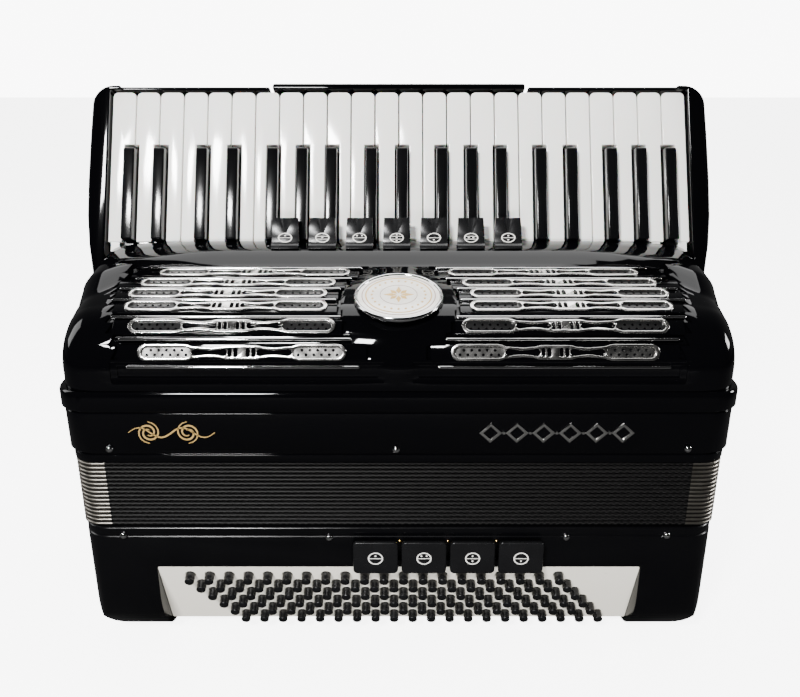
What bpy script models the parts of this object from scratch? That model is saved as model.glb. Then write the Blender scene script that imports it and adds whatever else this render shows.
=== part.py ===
"""Piano accordion with 41 treble keys and 120 bass buttons, standing on its bass side.

Lengths are in metres. +X runs along the keyboard from its high end to its low end, the
front faces -Y, +Z is up, and the origin is under the middle, on the surface it stands on.
The outlines below are about the middle of the two casings.
"""

import math

import bmesh
import bpy
from mathutils import Matrix, Vector

# Gaps between pieces that meet
TOUCH_GAP = 0.0003
REACH = 0.3  # half the length of a cutter that runs right through

# Heights of the closed instrument
UNDERSIDE = 0.0093  # the raised middle, between the two feet
CHANNEL_ROOF = 0.028  # the hand's channel over the bass strap
BASS_TOP = 0.1118
BELLOWS_BOTTOM = 0.1121
BELLOWS_TOP = 0.1674
TREBLE_BOTTOM = 0.1677
LIP_BOTTOM = 0.2102
LIP_TOP = 0.2262
GRILLE_BOTTOM = 0.2266

# Plan of the two casings
FRONT = 0.1025  # half the depth of both casings
BASS_HALF = 0.2475
PLAN_CORNER = 0.022
FOOT_CORNER = 0.034
SIDE_CORNER = 0.018

# Bass button board, tilted to face down and forward
BOARD_HALF = 0.190
BOARD_TOP = 0.0760
BOARD_LENGTH = 0.0712
BOARD_THICK = 0.004
BOARD_TILT = math.radians(20.5)
BUTTON_ROWS = 6
BUTTONS_IN_ROW = 20
BUTTON_PITCH = 0.0154
ROW_SHIFT = BUTTON_PITCH / 2
ROW_SPACING = 0.0108
FIRST_ROW = 0.0100
FIRST_BUTTON_X = -0.1656
BUTTON_RADIUS = 0.0038
BUTTON_STANDS = 0.0080
BUTTON_SIDES = 8

# Bass register tabs
BASS_TAB_XS = [-0.0180 + 0.0376 * i for i in range(4)]
BASS_TAB_WIDTH = 0.0349
BASS_TAB_LOW, BASS_TAB_HIGH = 0.0748, 0.1030
BASS_TAB_FACE = 0.1101  # how far their faces stand in front of the casings' middle

# Centres of what sits on the bass side's low-note end, as (y, z)
AIR_BUTTON = (0.045, 0.075)
STRAP_WHEEL = (0.015, 0.050)

# Keyboard: s runs outward along the keys from where they leave the grille, h is height above them
KEY_PITCH = 0.0203
WHITE_KEYS = 24
KEY_LEAN = math.radians(26.6)  # from the upright
KEYBOARD_ORIGIN = Vector((0, 0.028, 0.308))
KEY_LENGTH = 0.1283
KEY_THICK = 0.014
KEY_GAP = 0.0005  # half the gap between two white keys
BLACK_LENGTH = 0.0815
BLACK_WIDTH = 0.0112
BLACK_TOP_WIDTH = 0.0092
BLACK_HEIGHT = 0.0085
BLACK_GAP = 0.0006
TAIL_HALF = 0.0035
TAIL_MOST = 0.2375
TAIL_END = -0.078
AXLE_S, AXLE_H = -0.025, -0.0165
AXLE_RADIUS = 0.0015
# Each black key: the joint between white keys that it stands on, and how far it is off it
TWO_KEYS = (-0.0028, 0.0028)
THREE_KEYS = (-0.0044, 0.0, 0.0044)
BLACK_GROUPS = (
    (1, (-0.0026, 0.0020)),
    (4, TWO_KEYS),
    (7, THREE_KEYS),
    (11, TWO_KEYS),
    (14, THREE_KEYS),
    (18, TWO_KEYS),
    (21, THREE_KEYS),
)

# Fingerboard, in the keyboard's own frame
WELL_HALF = 0.2447
BOARD_BACK = -0.034
WELL_FLOOR = -0.0235
RAIL_START, RAIL_END = 0.1292, 0.1330
PALM_HALF = 0.1080

# Grille cover
GRILLE_HALF = 0.2475
GRILLE_WALL = 0.0025
GRILLE_END_WALL = 0.0020
GRILLE_END_ROUND = 0.018
GRILLE_SLOPE = math.radians(17.0)
GRILLE_BEND = 0.046
GRILLE_RIDGE = (0.0030, 0.3057)  # (y, z) where the slope ends and the apron in front of the keys begins
APRON_END = (0.0225, 0.3083)
BADGE_Y = -0.0656
BADGE_RADIUS = 0.0329
BADGE_THICK = 0.0040

# Treble register tabs
TREBLE_TAB_XS = [-0.0017 + 0.0303 * i for i in range(-3, 4)]
TREBLE_TAB_WIDTH = 0.0222
TAB_AXIS = (0.012, 0.2942)


# ---------------------------------------------------------------- making and cutting

def new_collection(name):
    made = bpy.data.collections.new(name)
    bpy.context.scene.collection.children.link(made)
    return made


def new_material(name, colour, roughness, metallic=0.0):
    made = bpy.data.materials.new(name)
    made.use_nodes = True
    shader = made.node_tree.nodes["Principled BSDF"]
    shader.inputs["Base Color"].default_value = (*colour, 1)
    shader.inputs["Roughness"].default_value = roughness
    shader.inputs["Metallic"].default_value = metallic
    return made


def add_object(name, shape, collection, material=None, parent=None, location=(0, 0, 0)):
    """One object from a bmesh, or from a mesh that several objects share."""
    if isinstance(shape, bmesh.types.BMesh):
        mesh = bpy.data.meshes.new(name)
        bmesh.ops.recalc_face_normals(shape, faces=shape.faces)
        shape.to_mesh(mesh)
        shape.free()
    else:
        mesh = shape
    if material and not mesh.materials:
        mesh.materials.append(material)
    made = bpy.data.objects.new(name, mesh)
    made.location = location
    made.parent = parent or CASING_FRAME
    collection.objects.link(made)
    return made


def cutter(name, shape):
    made = add_object(name, shape, CUTTERS)
    made.hide_render = True
    made.display_type = "WIRE"
    return made


def cut(target, name, shape, operation="DIFFERENCE"):
    """A Boolean on the target, with its cutter in the target's own frame."""
    step = target.modifiers.new(name, "BOOLEAN")
    step.operation = operation
    step.object = cutter(f"{target.name}_{name}", shape)
    step.object.parent = target.parent
    step.object.location = target.location
    return step


def prism(outline, low, high, axis="Z"):
    """An outline pulled along an axis. Along X it holds (y, z) points, and along Y (x, z)."""
    shape = bmesh.new()
    face = shape.faces.new([shape.verts.new((a, b, low)) for a, b in outline])
    pulled = bmesh.ops.extrude_face_region(shape, geom=[face])["geom"]
    ends = [item for item in pulled if isinstance(item, bmesh.types.BMVert)]
    bmesh.ops.translate(shape, vec=(0, 0, high - low), verts=ends)
    for vertex in shape.verts:
        a, b, c = vertex.co
        if axis == "X":
            vertex.co = (c, a, b)
        elif axis == "Y":
            vertex.co = (a, c, b)
    bmesh.ops.recalc_face_normals(shape, faces=shape.faces)
    return shape


def box(x, y, z):
    """A block between three pairs of limits."""
    return prism([(x[0], y[0]), (x[1], y[0]), (x[1], y[1]), (x[0], y[1])], *z)


def joined(shapes):
    """Several closed shapes in one bmesh."""
    whole = bmesh.new()
    for shape in shapes:
        mesh = bpy.data.meshes.new("piece")
        shape.to_mesh(mesh)
        shape.free()
        whole.from_mesh(mesh)
        bpy.data.meshes.remove(mesh)
    return whole


def arc(centre, radius, start, end, steps):
    """Points on an arc, with its angles in degrees."""
    angles = [math.radians(start + (end - start) * i / steps) for i in range(steps + 1)]
    return [(centre[0] + radius * math.cos(a), centre[1] + radius * math.sin(a)) for a in angles]


def rounded_rectangle(half_x, half_y, radius, steps=4):
    points = []
    for turn, (sx, sy) in enumerate(((1, 1), (-1, 1), (-1, -1), (1, -1))):
        centre = (sx * (half_x - radius), sy * (half_y - radius))
        points += arc(centre, radius, 90 * turn, 90 * turn + 90, steps)
    return points


def cylinder(centre, radius, low, high, sides=16, axis="X"):
    turn = math.tau / sides
    ring = [
        (centre[0] + radius * math.cos(turn * i), centre[1] + radius * math.sin(turn * i))
        for i in range(sides)
    ]
    return prism(ring, low, high, axis)


def stack(levels, corner):
    """Rounded rectangles laid on each other, each as (half x, half y, height)."""
    shape = bmesh.new()
    half_x, half_y, height = levels[0]
    outline = rounded_rectangle(half_x, half_y, corner)
    face = shape.faces.new([shape.verts.new((x, y, height)) for x, y in outline])
    for step, (half_x, half_y, height) in enumerate(levels[1:]):
        pulled = bmesh.ops.extrude_face_region(shape, geom=[face])["geom"]
        if step:
            bmesh.ops.delete(shape, geom=[face], context="FACES_ONLY")
        face = next(item for item in pulled if isinstance(item, bmesh.types.BMFace))
        wanted = rounded_rectangle(half_x, half_y, corner)
        for vertex in face.verts:
            nearest = min(wanted, key=lambda p: (p[0] - vertex.co.x) ** 2 + (p[1] - vertex.co.y) ** 2)
            vertex.co = (*nearest, height)
    bmesh.ops.recalc_face_normals(shape, faces=shape.faces)
    return shape


# ---------------------------------------------------------------- bass side

def board_point(along, depth=0.0):
    """(y, z) on the button board: down it from its top edge, and inward from its face."""
    sine, cosine = math.sin(BOARD_TILT), math.cos(BOARD_TILT)
    return (
        -FRONT + along * sine + depth * cosine,
        BOARD_TOP - along * cosine + depth * sine,
    )


def board_y(height, depth):
    """Where the plane at this depth behind the board's face is at this height."""
    y, z = board_point(0, depth)
    return y + (z - height) * math.tan(BOARD_TILT)


def board_slab(x, along, depth):
    """A block square to the button board."""
    corners = [
        board_point(along[0], depth[0]),
        board_point(along[1], depth[0]),
        board_point(along[1], depth[1]),
        board_point(along[0], depth[1]),
    ]
    return prism(corners, *x, axis="X")


def row_start(row):
    return FIRST_BUTTON_X + ROW_SHIFT * row


def row_along(row):
    return FIRST_ROW + ROW_SPACING * row


def bass_casing():
    """Shell of the bass side, its two ends reaching down as feet."""
    body = add_object(
        "bass_casing",
        prism(rounded_rectangle(BASS_HALF, FRONT, PLAN_CORNER), 0, BASS_TOP),
        PARTS,
        BLACK_LACQUER,
    )
    draft = 0.0015
    foot = BASS_HALF - draft - FOOT_CORNER
    front_view = [(-BASS_HALF, 0.15), *arc((-foot, FOOT_CORNER), FOOT_CORNER, 180, 270, 6)]
    front_view += [*arc((foot, FOOT_CORNER), FOOT_CORNER, 270, 360, 6), (BASS_HALF, 0.15)]
    cut(body, "foot_rounding", prism(front_view, -REACH, REACH, axis="Y"), "INTERSECT")
    edge = FRONT - SIDE_CORNER
    side_view = [(-FRONT - 0.01, 0.15), (-FRONT - 0.01, SIDE_CORNER)]
    side_view += arc((-edge, SIDE_CORNER), SIDE_CORNER, 180, 270, 4)
    side_view += arc((edge, SIDE_CORNER), SIDE_CORNER, 270, 360, 4)
    side_view += [(FRONT + 0.01, SIDE_CORNER), (FRONT + 0.01, 0.15)]
    cut(body, "edge_rounding", prism(side_view, -REACH, REACH, axis="X"), "INTERSECT")

    back_of_board = BOARD_THICK + TOUCH_GAP
    recess_top = BOARD_TOP + TOUCH_GAP
    beam_back = -0.055
    recess = [
        (-0.13, recess_top),
        (board_y(recess_top, back_of_board), recess_top),
        (board_y(UNDERSIDE, back_of_board), UNDERSIDE),
        (beam_back, UNDERSIDE),
        (beam_back, CHANNEL_ROOF),
        (0.13, CHANNEL_ROOF),
        (0.13, -0.01),
        (-0.13, -0.01),
    ]
    half = BOARD_HALF + TOUCH_GAP
    cut(body, "board_recess", prism(recess, -half, half, axis="X"))

    wall = 0.005
    web = 0.0063
    floor = CHANNEL_ROOF + wall
    bend = BOARD_TOP + 0.005
    hollow = [
        (-FRONT + wall, 0.15),
        (-FRONT + wall, bend),
        (board_y(floor, web), floor),
        (FRONT - wall, floor),
        (FRONT - wall, 0.15),
    ]
    cut(body, "hollow", prism(hollow, -0.236, 0.236, axis="X"))
    trough_floor = 0.0120
    trough = [
        (board_y(0.06, web), 0.06),
        (board_y(trough_floor, web), trough_floor),
        (beam_back - wall, trough_floor),
        (beam_back - wall, 0.06),
    ]
    cut(body, "trough", prism(trough, -0.185, 0.185, axis="X"))
    cut(body, "button_window", board_slab((-0.178, 0.178), (0.004, 0.0690), (0.003, 0.0125)))
    cut(body, "register_window", box((-0.0315, 0.1085), (-0.12, -0.09), (0.0820, 0.0960)))
    cut(body, "cover_window", box((-0.150, 0.150), (-0.030, 0.065), (0.01, 0.04)))
    cut(body, "air_button_hole", cylinder(AIR_BUTTON, 0.0066, 0.22, 0.26))
    cut(body, "wheel_recess", cylinder(STRAP_WHEEL, 0.0125, 0.2410, 0.26, 20))
    cut(body, "wheel_shaft_hole", cylinder(STRAP_WHEEL, 0.0026, 0.22, 0.25, 8))
    return body


def bass_button_board():
    outline = [
        (-FRONT, BOARD_TOP),
        (board_y(BOARD_TOP, BOARD_THICK), BOARD_TOP),
        board_point(BOARD_LENGTH, BOARD_THICK),
        board_point(BOARD_LENGTH),
    ]
    board = add_object(
        "bass_button_board", prism(outline, -BOARD_HALF, BOARD_HALF, axis="X"), PARTS, IVORY
    )
    clear = BUTTON_RADIUS + 0.0005
    length = BUTTON_PITCH * (BUTTONS_IN_ROW - 1)
    slots = [
        board_slab(
            (row_start(row) - clear, row_start(row) + length + clear),
            (row_along(row) - clear, row_along(row) + clear),
            (-0.01, 0.02),
        )
        for row in range(BUTTON_ROWS)
    ]
    cut(board, "slots", joined(slots))
    return board


def bass_button_bank(name, rows):
    """Rows of buttons that share a hidden bar behind the board."""
    first, last = rows[0], rows[-1]
    length = BUTTON_PITCH * (BUTTONS_IN_ROW - 1)
    margin = 0.0043
    bar = board_slab(
        (row_start(first) - 0.005, row_start(last) + length + 0.005),
        (row_along(first) - margin, row_along(last) + margin),
        (BOARD_THICK + 0.0006, BOARD_THICK + 0.0026),
    )
    bank = add_object(name, bar, PARTS, BLACK_PLASTIC)
    pegs = []
    for row in rows:
        for i in range(BUTTONS_IN_ROW):
            peg = cylinder((0, 0), BUTTON_RADIUS, -BUTTON_STANDS, BOARD_THICK + 0.0016, BUTTON_SIDES, "Z")
            y, z = board_point(row_along(row))
            place = Matrix.Translation((row_start(row) + BUTTON_PITCH * i, y, z))
            turn = Matrix.Rotation(BOARD_TILT - math.pi / 2, 4, "X")
            peg.transform(place @ turn)
            pegs.append(peg)
    cut(bank, "pegs", joined(pegs), "UNION")
    return bank


def bass_registers():
    """Four push tabs on one rail behind the casing's wall."""
    low, high = BASS_TAB_XS[0] - 0.016, BASS_TAB_XS[-1] + 0.016
    shape = box((low, high), (-0.0952, -0.0917), (0.079, 0.099))
    rail = add_object("bass_registers", shape, PARTS, BLACK_PLASTIC)
    half = BASS_TAB_WIDTH / 2
    necks = [box((x - 0.012, x + 0.012), (-0.1075, -0.0935), (0.084, 0.094)) for x in BASS_TAB_XS]
    cut(rail, "necks", joined(necks), "UNION")
    tabs = []
    for x in BASS_TAB_XS:
        face = [
            (x + a, (BASS_TAB_LOW + BASS_TAB_HIGH) / 2 + b)
            for a, b in rounded_rectangle(half, (BASS_TAB_HIGH - BASS_TAB_LOW) / 2, 0.003, 2)
        ]
        tabs.append(prism(face, -BASS_TAB_FACE, 0.0040 - BASS_TAB_FACE, axis="Y"))
    cut(rail, "tabs", joined(tabs), "UNION")
    return rail


def bass_end_cover():
    outline = [(x, y + 0.0175) for x, y in rounded_rectangle(0.160, 0.0575, 0.008, 2)]
    return add_object(
        "bass_end_cover",
        prism(outline, 0.0247, CHANNEL_ROOF - TOUCH_GAP),
        PARTS,
        BLACK_LACQUER,
    )


def bass_strap():
    """Leather hand strap, bowed under the end cover between the two feet."""
    half_thick = 0.0015
    line = [(-0.180, 0.0240), (-0.172, 0.0140), (-0.155, 0.0075), (-0.125, 0.0050)]
    line += [(-x, z) for x, z in reversed(line)]
    upper = [(x, z + half_thick) for x, z in line]
    lower = [(x * 1.008, z - half_thick) for x, z in reversed(line)]
    return add_object("bass_strap", prism(lower + upper, -0.020, 0.050, axis="Y"), PARTS, BLACK_LEATHER)


def air_button():
    stem = add_object("air_button", cylinder(AIR_BUTTON, 0.0060, 0.2320, 0.2505), PARTS, CHROME)
    cut(stem, "flange", cylinder(AIR_BUTTON, 0.0085, 0.2325, 0.2350), "UNION")
    return stem


def strap_wheel():
    wheel = add_object("strap_wheel", cylinder(STRAP_WHEEL, 0.0115, 0.2416, 0.2466, 20), PARTS, CHROME)
    cut(wheel, "shaft", cylinder(STRAP_WHEEL, 0.0020, 0.2300, 0.2440, 8), "UNION")
    return wheel


def bass_reed_block():
    """Foundation plate that closes the bass casing, with two reed blocks standing on it."""
    shape = box((-0.2355, 0.2355), (-0.085, 0.0970), (0.104, 0.108))
    plate = add_object("bass_reed_block", shape, PARTS, WOOD)
    blocks = [box((-0.190, 0.190), (y, y + 0.032), (0.106, 0.136)) for y in (-0.062, 0.018)]
    cut(plate, "blocks", joined(blocks), "UNION")
    return plate


# ---------------------------------------------------------------- bellows

def bellows():
    tube = add_object(
        "bellows",
        prism(rounded_rectangle(0.2475, 0.1005, 0.016), BELLOWS_BOTTOM, BELLOWS_TOP),
        PARTS,
        BELLOWS_CLOTH,
    )
    cut(tube, "inside", prism(rounded_rectangle(0.2365, 0.0895, 0.008), 0.05, 0.25))
    return tube


# ---------------------------------------------------------------- treble side

def keyboard_point(s, h):
    """(y, z) in the world of a point on the keyboard's own frame."""
    sine, cosine = math.sin(KEY_LEAN), math.cos(KEY_LEAN)
    return (
        KEYBOARD_ORIGIN.y + s * sine - h * cosine,
        KEYBOARD_ORIGIN.z + s * cosine + h * sine,
    )


def treble_casing():
    """Frame and walls of the treble side, its back rising to the fingerboard."""
    body = add_object(
        "treble_casing",
        stack(
            [
                (0.2490, 0.1013, TREBLE_BOTTOM),
                (0.2490, 0.1013, 0.1750),
                (0.2512, FRONT, 0.1765),
                (0.2515, FRONT, LIP_BOTTOM - 0.001),
                (0.2530, FRONT + 0.002, LIP_BOTTOM + 0.001),
                (0.2530, FRONT + 0.002, LIP_TOP - 0.002),
                (0.2518, FRONT + 0.0005, LIP_TOP),
            ],
            PLAN_CORNER,
        ),
        PARTS,
        BLACK_LACQUER,
    )
    under_board = BOARD_BACK - 0.0005
    shoulder = [
        (0.0300, 0.2150),
        (0.0300, 0.2727),
        keyboard_point(-0.0305, under_board),
        keyboard_point(0.0300, under_board),
        (0.0900, 0.3130),
        (0.0985, 0.3040),
        (FRONT, 0.2900),
        (FRONT, 0.2150),
    ]
    cut(body, "back", rounded_back(shoulder), "UNION")
    cut(body, "inside", prism(rounded_rectangle(0.2455, 0.0965, 0.016), 0.1, 0.2400))
    hollow = [
        (0.0250, 0.2300),
        (0.0250, 0.3400),
        (0.0660, 0.3400),
        (0.0670, 0.3100),
        (0.0860, 0.3070),
        (0.0940, 0.2990),
        (0.0965, 0.2880),
        (0.0965, 0.2300),
    ]
    cut(body, "back_inside", prism(hollow, -0.2455, 0.2455, axis="X"))
    return body


def rounded_back(profile):
    """The casing's back part, with its two upright corners rounded in plan."""
    corner = PLAN_CORNER
    half = 0.2515
    shape = prism(profile, -half, half, axis="X")
    for side in (-1, 1):
        upright = [
            edge
            for edge in shape.edges
            if all(abs(v.co.y - FRONT) < 1e-6 and v.co.x * side > 0 for v in edge.verts)
        ]
        bmesh.ops.bevel(
            shape, geom=upright, offset=corner, segments=4, profile=0.5, affect="EDGES", clamp_overlap=False
        )
    bmesh.ops.recalc_face_normals(shape, faces=shape.faces)
    return shape


def grille_height(y):
    """Height of the cover's sloping top."""
    return GRILLE_RIDGE[1] + (y - GRILLE_RIDGE[0]) * math.tan(GRILLE_SLOPE)


def grille_outline(inset, tail, rear):
    """Outer line of the cover from behind the keys to its lower front edge, moved in by the inset."""
    ridge_y, ridge_z = GRILLE_RIDGE
    apron_y, apron_z = APRON_END
    centre_y = GRILLE_BEND - FRONT
    tangent = GRILLE_BEND * math.tan((math.pi / 2 - GRILLE_SLOPE) / 2)
    centre = (centre_y, grille_height(-FRONT) - tangent)
    bend = arc(centre, GRILLE_BEND - inset, 90 + math.degrees(GRILLE_SLOPE), 180, 5)
    top = [(y, apron_z - inset) for y in tail] + [(ridge_y, ridge_z - 1.02 * inset)]
    return top + bend + [(inset - FRONT, rear[0][1]), *rear]


def pillow(half, radius, inset, tail, rear):
    """Prism of the cover's outline whose two ends are rounded over, as a pillow's are."""
    turns = [math.radians(18 * i) for i in range(6)]
    ends = [(half - radius * (1 - math.sin(turn)), inset + radius * (1 - math.cos(turn))) for turn in turns]
    stations = [(-x, moved) for x, moved in reversed(ends)] + ends
    shape = bmesh.new()
    rings = []
    for x, moved in stations:
        rings.append([shape.verts.new((x, y, z)) for y, z in grille_outline(moved, tail, rear)])
    for ring, following in zip(rings, rings[1:]):
        count = len(ring)
        for i in range(count):
            shape.faces.new((ring[i], ring[(i + 1) % count], following[(i + 1) % count], following[i]))
    shape.faces.new(rings[0])
    shape.faces.new(rings[-1])
    bmesh.ops.recalc_face_normals(shape, faces=shape.faces)
    return shape


def grille_cover():
    """Thin cover over the treble action, open behind, where the keys run in."""
    back, past, under = 0.0295, 0.0500, 0.2000
    outer = pillow(
        GRILLE_HALF, GRILLE_END_ROUND, 0, [APRON_END[0]], [(back, GRILLE_BOTTOM), (back, 0.2850)]
    )
    cover = add_object("grille_cover", outer, PARTS, BLACK_LACQUER)
    inside = pillow(
        GRILLE_HALF - GRILLE_END_WALL,
        GRILLE_END_ROUND - GRILLE_WALL,
        GRILLE_WALL,
        [past, APRON_END[0]],
        [(past, under)],
    )
    cut(cover, "inside", inside)
    gap = 0.0006
    top, low, bottom = 0.0045 + gap, -0.0300 - gap, BOARD_BACK - gap
    cheek = [keyboard_point(s, h) for s, h in ((low, top), (low, bottom), (0.03, bottom), (0.03, top))]
    for side in (-1, 1):
        reach = sorted((side * (WELL_HALF - gap), side * 0.26))
        cut(cover, f"cheek_clearance_{side}", prism(cheek, *reach, axis="X"))
    notches = [box((x - 0.0050, x + 0.0050), (0.0080, 0.0400), (0.2900, 0.3200)) for x in TREBLE_TAB_XS]
    cut(cover, "tab_notches", joined(notches))
    return cover


def grille_badge():
    """Round emblem plate, standing just off the cover's slope."""
    plate = bmesh.new()
    small = BADGE_RADIUS - 0.0015
    bmesh.ops.create_cone(
        plate, cap_ends=True, segments=32, radius1=BADGE_RADIUS, radius2=small, depth=BADGE_THICK
    )
    badge = add_object("grille_badge", plate, PARTS, CHROME)
    lift = TOUCH_GAP + BADGE_THICK / 2
    badge.location = (
        0,
        BADGE_Y - lift * math.sin(GRILLE_SLOPE),
        grille_height(BADGE_Y) + lift * math.cos(GRILLE_SLOPE),
    )
    badge.rotation_euler.x = GRILLE_SLOPE
    return badge


def treble_registers():
    """Seven tabs that rock together on one shaft under the cover."""
    shaft = add_object(
        "treble_registers",
        cylinder((0, 0), 0.0018, TREBLE_TAB_XS[0] - 0.010, TREBLE_TAB_XS[-1] + 0.010, 8),
        PARTS,
        BLACK_PLASTIC,
        location=(0, *TAB_AXIS),
    )

    def about_axis(points):
        return [(y - TAB_AXIS[0], z - TAB_AXIS[1]) for y, z in points]

    arm = about_axis([(0.0105, 0.2938), (0.0136, 0.2938), (0.0152, 0.3092), (0.0125, 0.3092)])
    arms = [prism(arm, x - 0.0035, x + 0.0035, axis="X") for x in TREBLE_TAB_XS]
    cut(shaft, "arms", joined(arms), "UNION")
    tab = [(0.0072, 0.3072), (0.0165, 0.3083), (0.0212, 0.3280)]
    tab += [(0.0182, 0.3288), (0.0100, 0.3112), (0.0072, 0.3102)]
    tab = about_axis(tab)
    half = TREBLE_TAB_WIDTH / 2
    tabs = [prism(tab, x - half, x + half, axis="X") for x in TREBLE_TAB_XS]
    cut(shaft, "tabs", joined(tabs), "UNION")
    return shaft


def treble_reed_block():
    """Foundation plate of the treble side, with three reed blocks hanging into the bellows."""
    outline = rounded_rectangle(0.2445, 0.0955, 0.016)
    plate = add_object("treble_reed_block", prism(outline, 0.2050, 0.2090), PARTS, WOOD)
    blocks = [box((-0.190, 0.190), (y, y + 0.030), (0.1460, 0.2070)) for y in (-0.070, -0.015, 0.040)]
    cut(plate, "blocks", joined(blocks), "UNION")
    return plate


# ---------------------------------------------------------------- keyboard

def fingerboard(frame):
    """Tray that the keys lie in: two cheeks, a floor and an end rail."""
    corner = 0.017
    side = [(0.2532, -0.030), (0.2575, -0.005), (0.2597, 0.020), (0.2602, 0.050), (0.2597, 0.090)]
    side += arc((0.2590 - corner, RAIL_END - corner), corner, 0, 90, 4)
    outline = side + [(-x, s) for x, s in reversed(side)]
    tray = add_object("fingerboard", prism(outline, BOARD_BACK, 0.0045), PARTS, BLACK_LACQUER, frame)
    cut(tray, "well", box((-WELL_HALF, WELL_HALF), (-0.05, RAIL_START), (WELL_FLOOR, 0.02)))
    cut(tray, "rail_top", box((-0.236, 0.236), (0.10, 0.15), (0.001, 0.02)))
    palm = PALM_HALF + 0.002
    cut(tray, "palm_seat", box((-palm, palm), (0.10, 0.15), (-0.0130, 0.02)))
    return tray


def palm_switch(frame):
    """Bar on the keyboard's outer edge, pressed with the palm."""
    bar = box((-PALM_HALF, PALM_HALF), (0.1315, 0.1370), (-0.0125, -0.0010))
    return add_object("palm_switch", bar, PARTS, BLACK_LACQUER, frame)


def key_axle(frame):
    rod = cylinder((AXLE_S, AXLE_H), AXLE_RADIUS, -0.2405, 0.2405, 8)
    return add_object("key_axle", rod, PARTS, STEEL, frame)


def black_key_xs():
    """Joint number and centre of each black key, from the high end."""
    found = {}
    for joint, offsets in BLACK_GROUPS:
        for i, offset in enumerate(offsets):
            found[joint + i] = (joint + i - WHITE_KEYS / 2) * KEY_PITCH + offset
    return found


def white_keys(frame):
    blacks = black_key_xs()
    clear = BLACK_WIDTH / 2 + BLACK_GAP
    notch_end = BLACK_LENGTH + 0.0008
    for i in range(WHITE_KEYS):
        left = (i - WHITE_KEYS / 2) * KEY_PITCH
        right = left + KEY_PITCH
        middle = (left + right) / 2
        head_left, head_right = left + KEY_GAP - middle, right - KEY_GAP - middle
        stem_left = blacks[i] + clear - middle if i in blacks else head_left
        stem_right = blacks[i + 1] - clear - middle if i + 1 in blacks else head_right
        tail = (stem_left + stem_right) / 2
        tail = max(-TAIL_MOST - middle, min(TAIL_MOST - middle, tail))
        outline = [(tail - TAIL_HALF, TAIL_END), (tail + TAIL_HALF, TAIL_END), (tail + TAIL_HALF, -0.0015)]
        outline.append((stem_right, -0.0015))
        if stem_right < head_right - 1e-6:
            outline += [(stem_right, notch_end), (head_right, notch_end)]
        corner = 0.0040
        outline += arc((head_right - corner, KEY_LENGTH - corner), corner, 0, 90, 2)
        outline += arc((head_left + corner, KEY_LENGTH - corner), corner, 90, 180, 2)
        if stem_left > head_left + 1e-6:
            outline += [(head_left, notch_end), (stem_left, notch_end)]
        outline += [(stem_left, -0.0015), (tail - TAIL_HALF, -0.0015)]
        about_axle = [(x, s - AXLE_S) for x, s in outline]
        shape = prism(about_axle, -KEY_THICK - AXLE_H, -AXLE_H)
        add_object(f"white_key_{i + 1:02d}", shape, PARTS, WHITE_PLASTIC, frame, (middle, AXLE_S, AXLE_H))


def black_keys(frame):
    """All 17 share one mesh: a body between the white keys, a raised top and a hidden tail."""
    half, top_half = BLACK_WIDTH / 2, BLACK_TOP_WIDTH / 2
    start = -0.0010
    outline = [(-TAIL_HALF, TAIL_END), (TAIL_HALF, TAIL_END), (TAIL_HALF, start), (half, start)]
    outline += [(half, BLACK_LENGTH), (-half, BLACK_LENGTH), (-half, start), (-TAIL_HALF, start)]
    body = prism([(x, s - AXLE_S) for x, s in outline], -KEY_THICK - AXLE_H, -AXLE_H)
    face = next(f for f in body.faces if f.normal.z > 0.9)
    level = [v for v in face.verts if abs(v.co.y - start + AXLE_S) < 1e-6]
    bmesh.ops.connect_verts(body, verts=[v for v in level if abs(v.co.x) < half - 1e-6])
    raised = next(f for f in body.faces if f.normal.z > 0.9 and f.calc_center_median().y > 0.03)
    pulled = bmesh.ops.extrude_face_region(body, geom=[raised])["geom"]
    bmesh.ops.delete(body, geom=[raised], context="FACES_ONLY")
    for vertex in (item for item in pulled if isinstance(item, bmesh.types.BMVert)):
        front = vertex.co.y > 0.05
        vertex.co.z += BLACK_HEIGHT
        vertex.co.y -= 0.0045 if front else 0
        if abs(vertex.co.x) > half - 1e-6:
            vertex.co.x = math.copysign(top_half, vertex.co.x)
    bmesh.ops.recalc_face_normals(body, faces=body.faces)
    mesh = bpy.data.meshes.new("black_key")
    body.to_mesh(mesh)
    body.free()
    for number, (_, x) in enumerate(sorted(black_key_xs().items())):
        add_object(f"black_key_{number + 1:02d}", mesh, PARTS, BLACK_PLASTIC, frame, (x, AXLE_S, AXLE_H))


# ---------------------------------------------------------------- the whole accordion

for old in list(bpy.data.objects):
    bpy.data.objects.remove(old, do_unlink=True)

PARTS = new_collection("piano_accordion")
CUTTERS = new_collection("cutters")

# The casings are modelled about their own middle, then moved so that the origin is the whole's
CASING_FRAME = bpy.data.objects.new("casing_frame", None)
CASING_FRAME.location.y = (BASS_TAB_FACE - keyboard_point(RAIL_END, BOARD_BACK)[0]) / 2
PARTS.objects.link(CASING_FRAME)

BLACK_LACQUER = new_material("black_lacquer", (0.008, 0.008, 0.009), 0.08)
BLACK_PLASTIC = new_material("black_plastic", (0.012, 0.012, 0.013), 0.25)
WHITE_PLASTIC = new_material("white_key_plastic", (0.85, 0.85, 0.83), 0.15)
IVORY = new_material("ivory_plastic", (0.80, 0.76, 0.68), 0.35)
CHROME = new_material("chrome_plate", (0.80, 0.79, 0.77), 0.12, 1.0)
STEEL = new_material("steel_rod", (0.55, 0.55, 0.55), 0.30, 1.0)
BELLOWS_CLOTH = new_material("bellows_cloth", (0.015, 0.015, 0.016), 0.70)
BLACK_LEATHER = new_material("black_leather", (0.02, 0.018, 0.017), 0.55)
WOOD = new_material("reed_block_wood", (0.45, 0.28, 0.13), 0.60)

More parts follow.
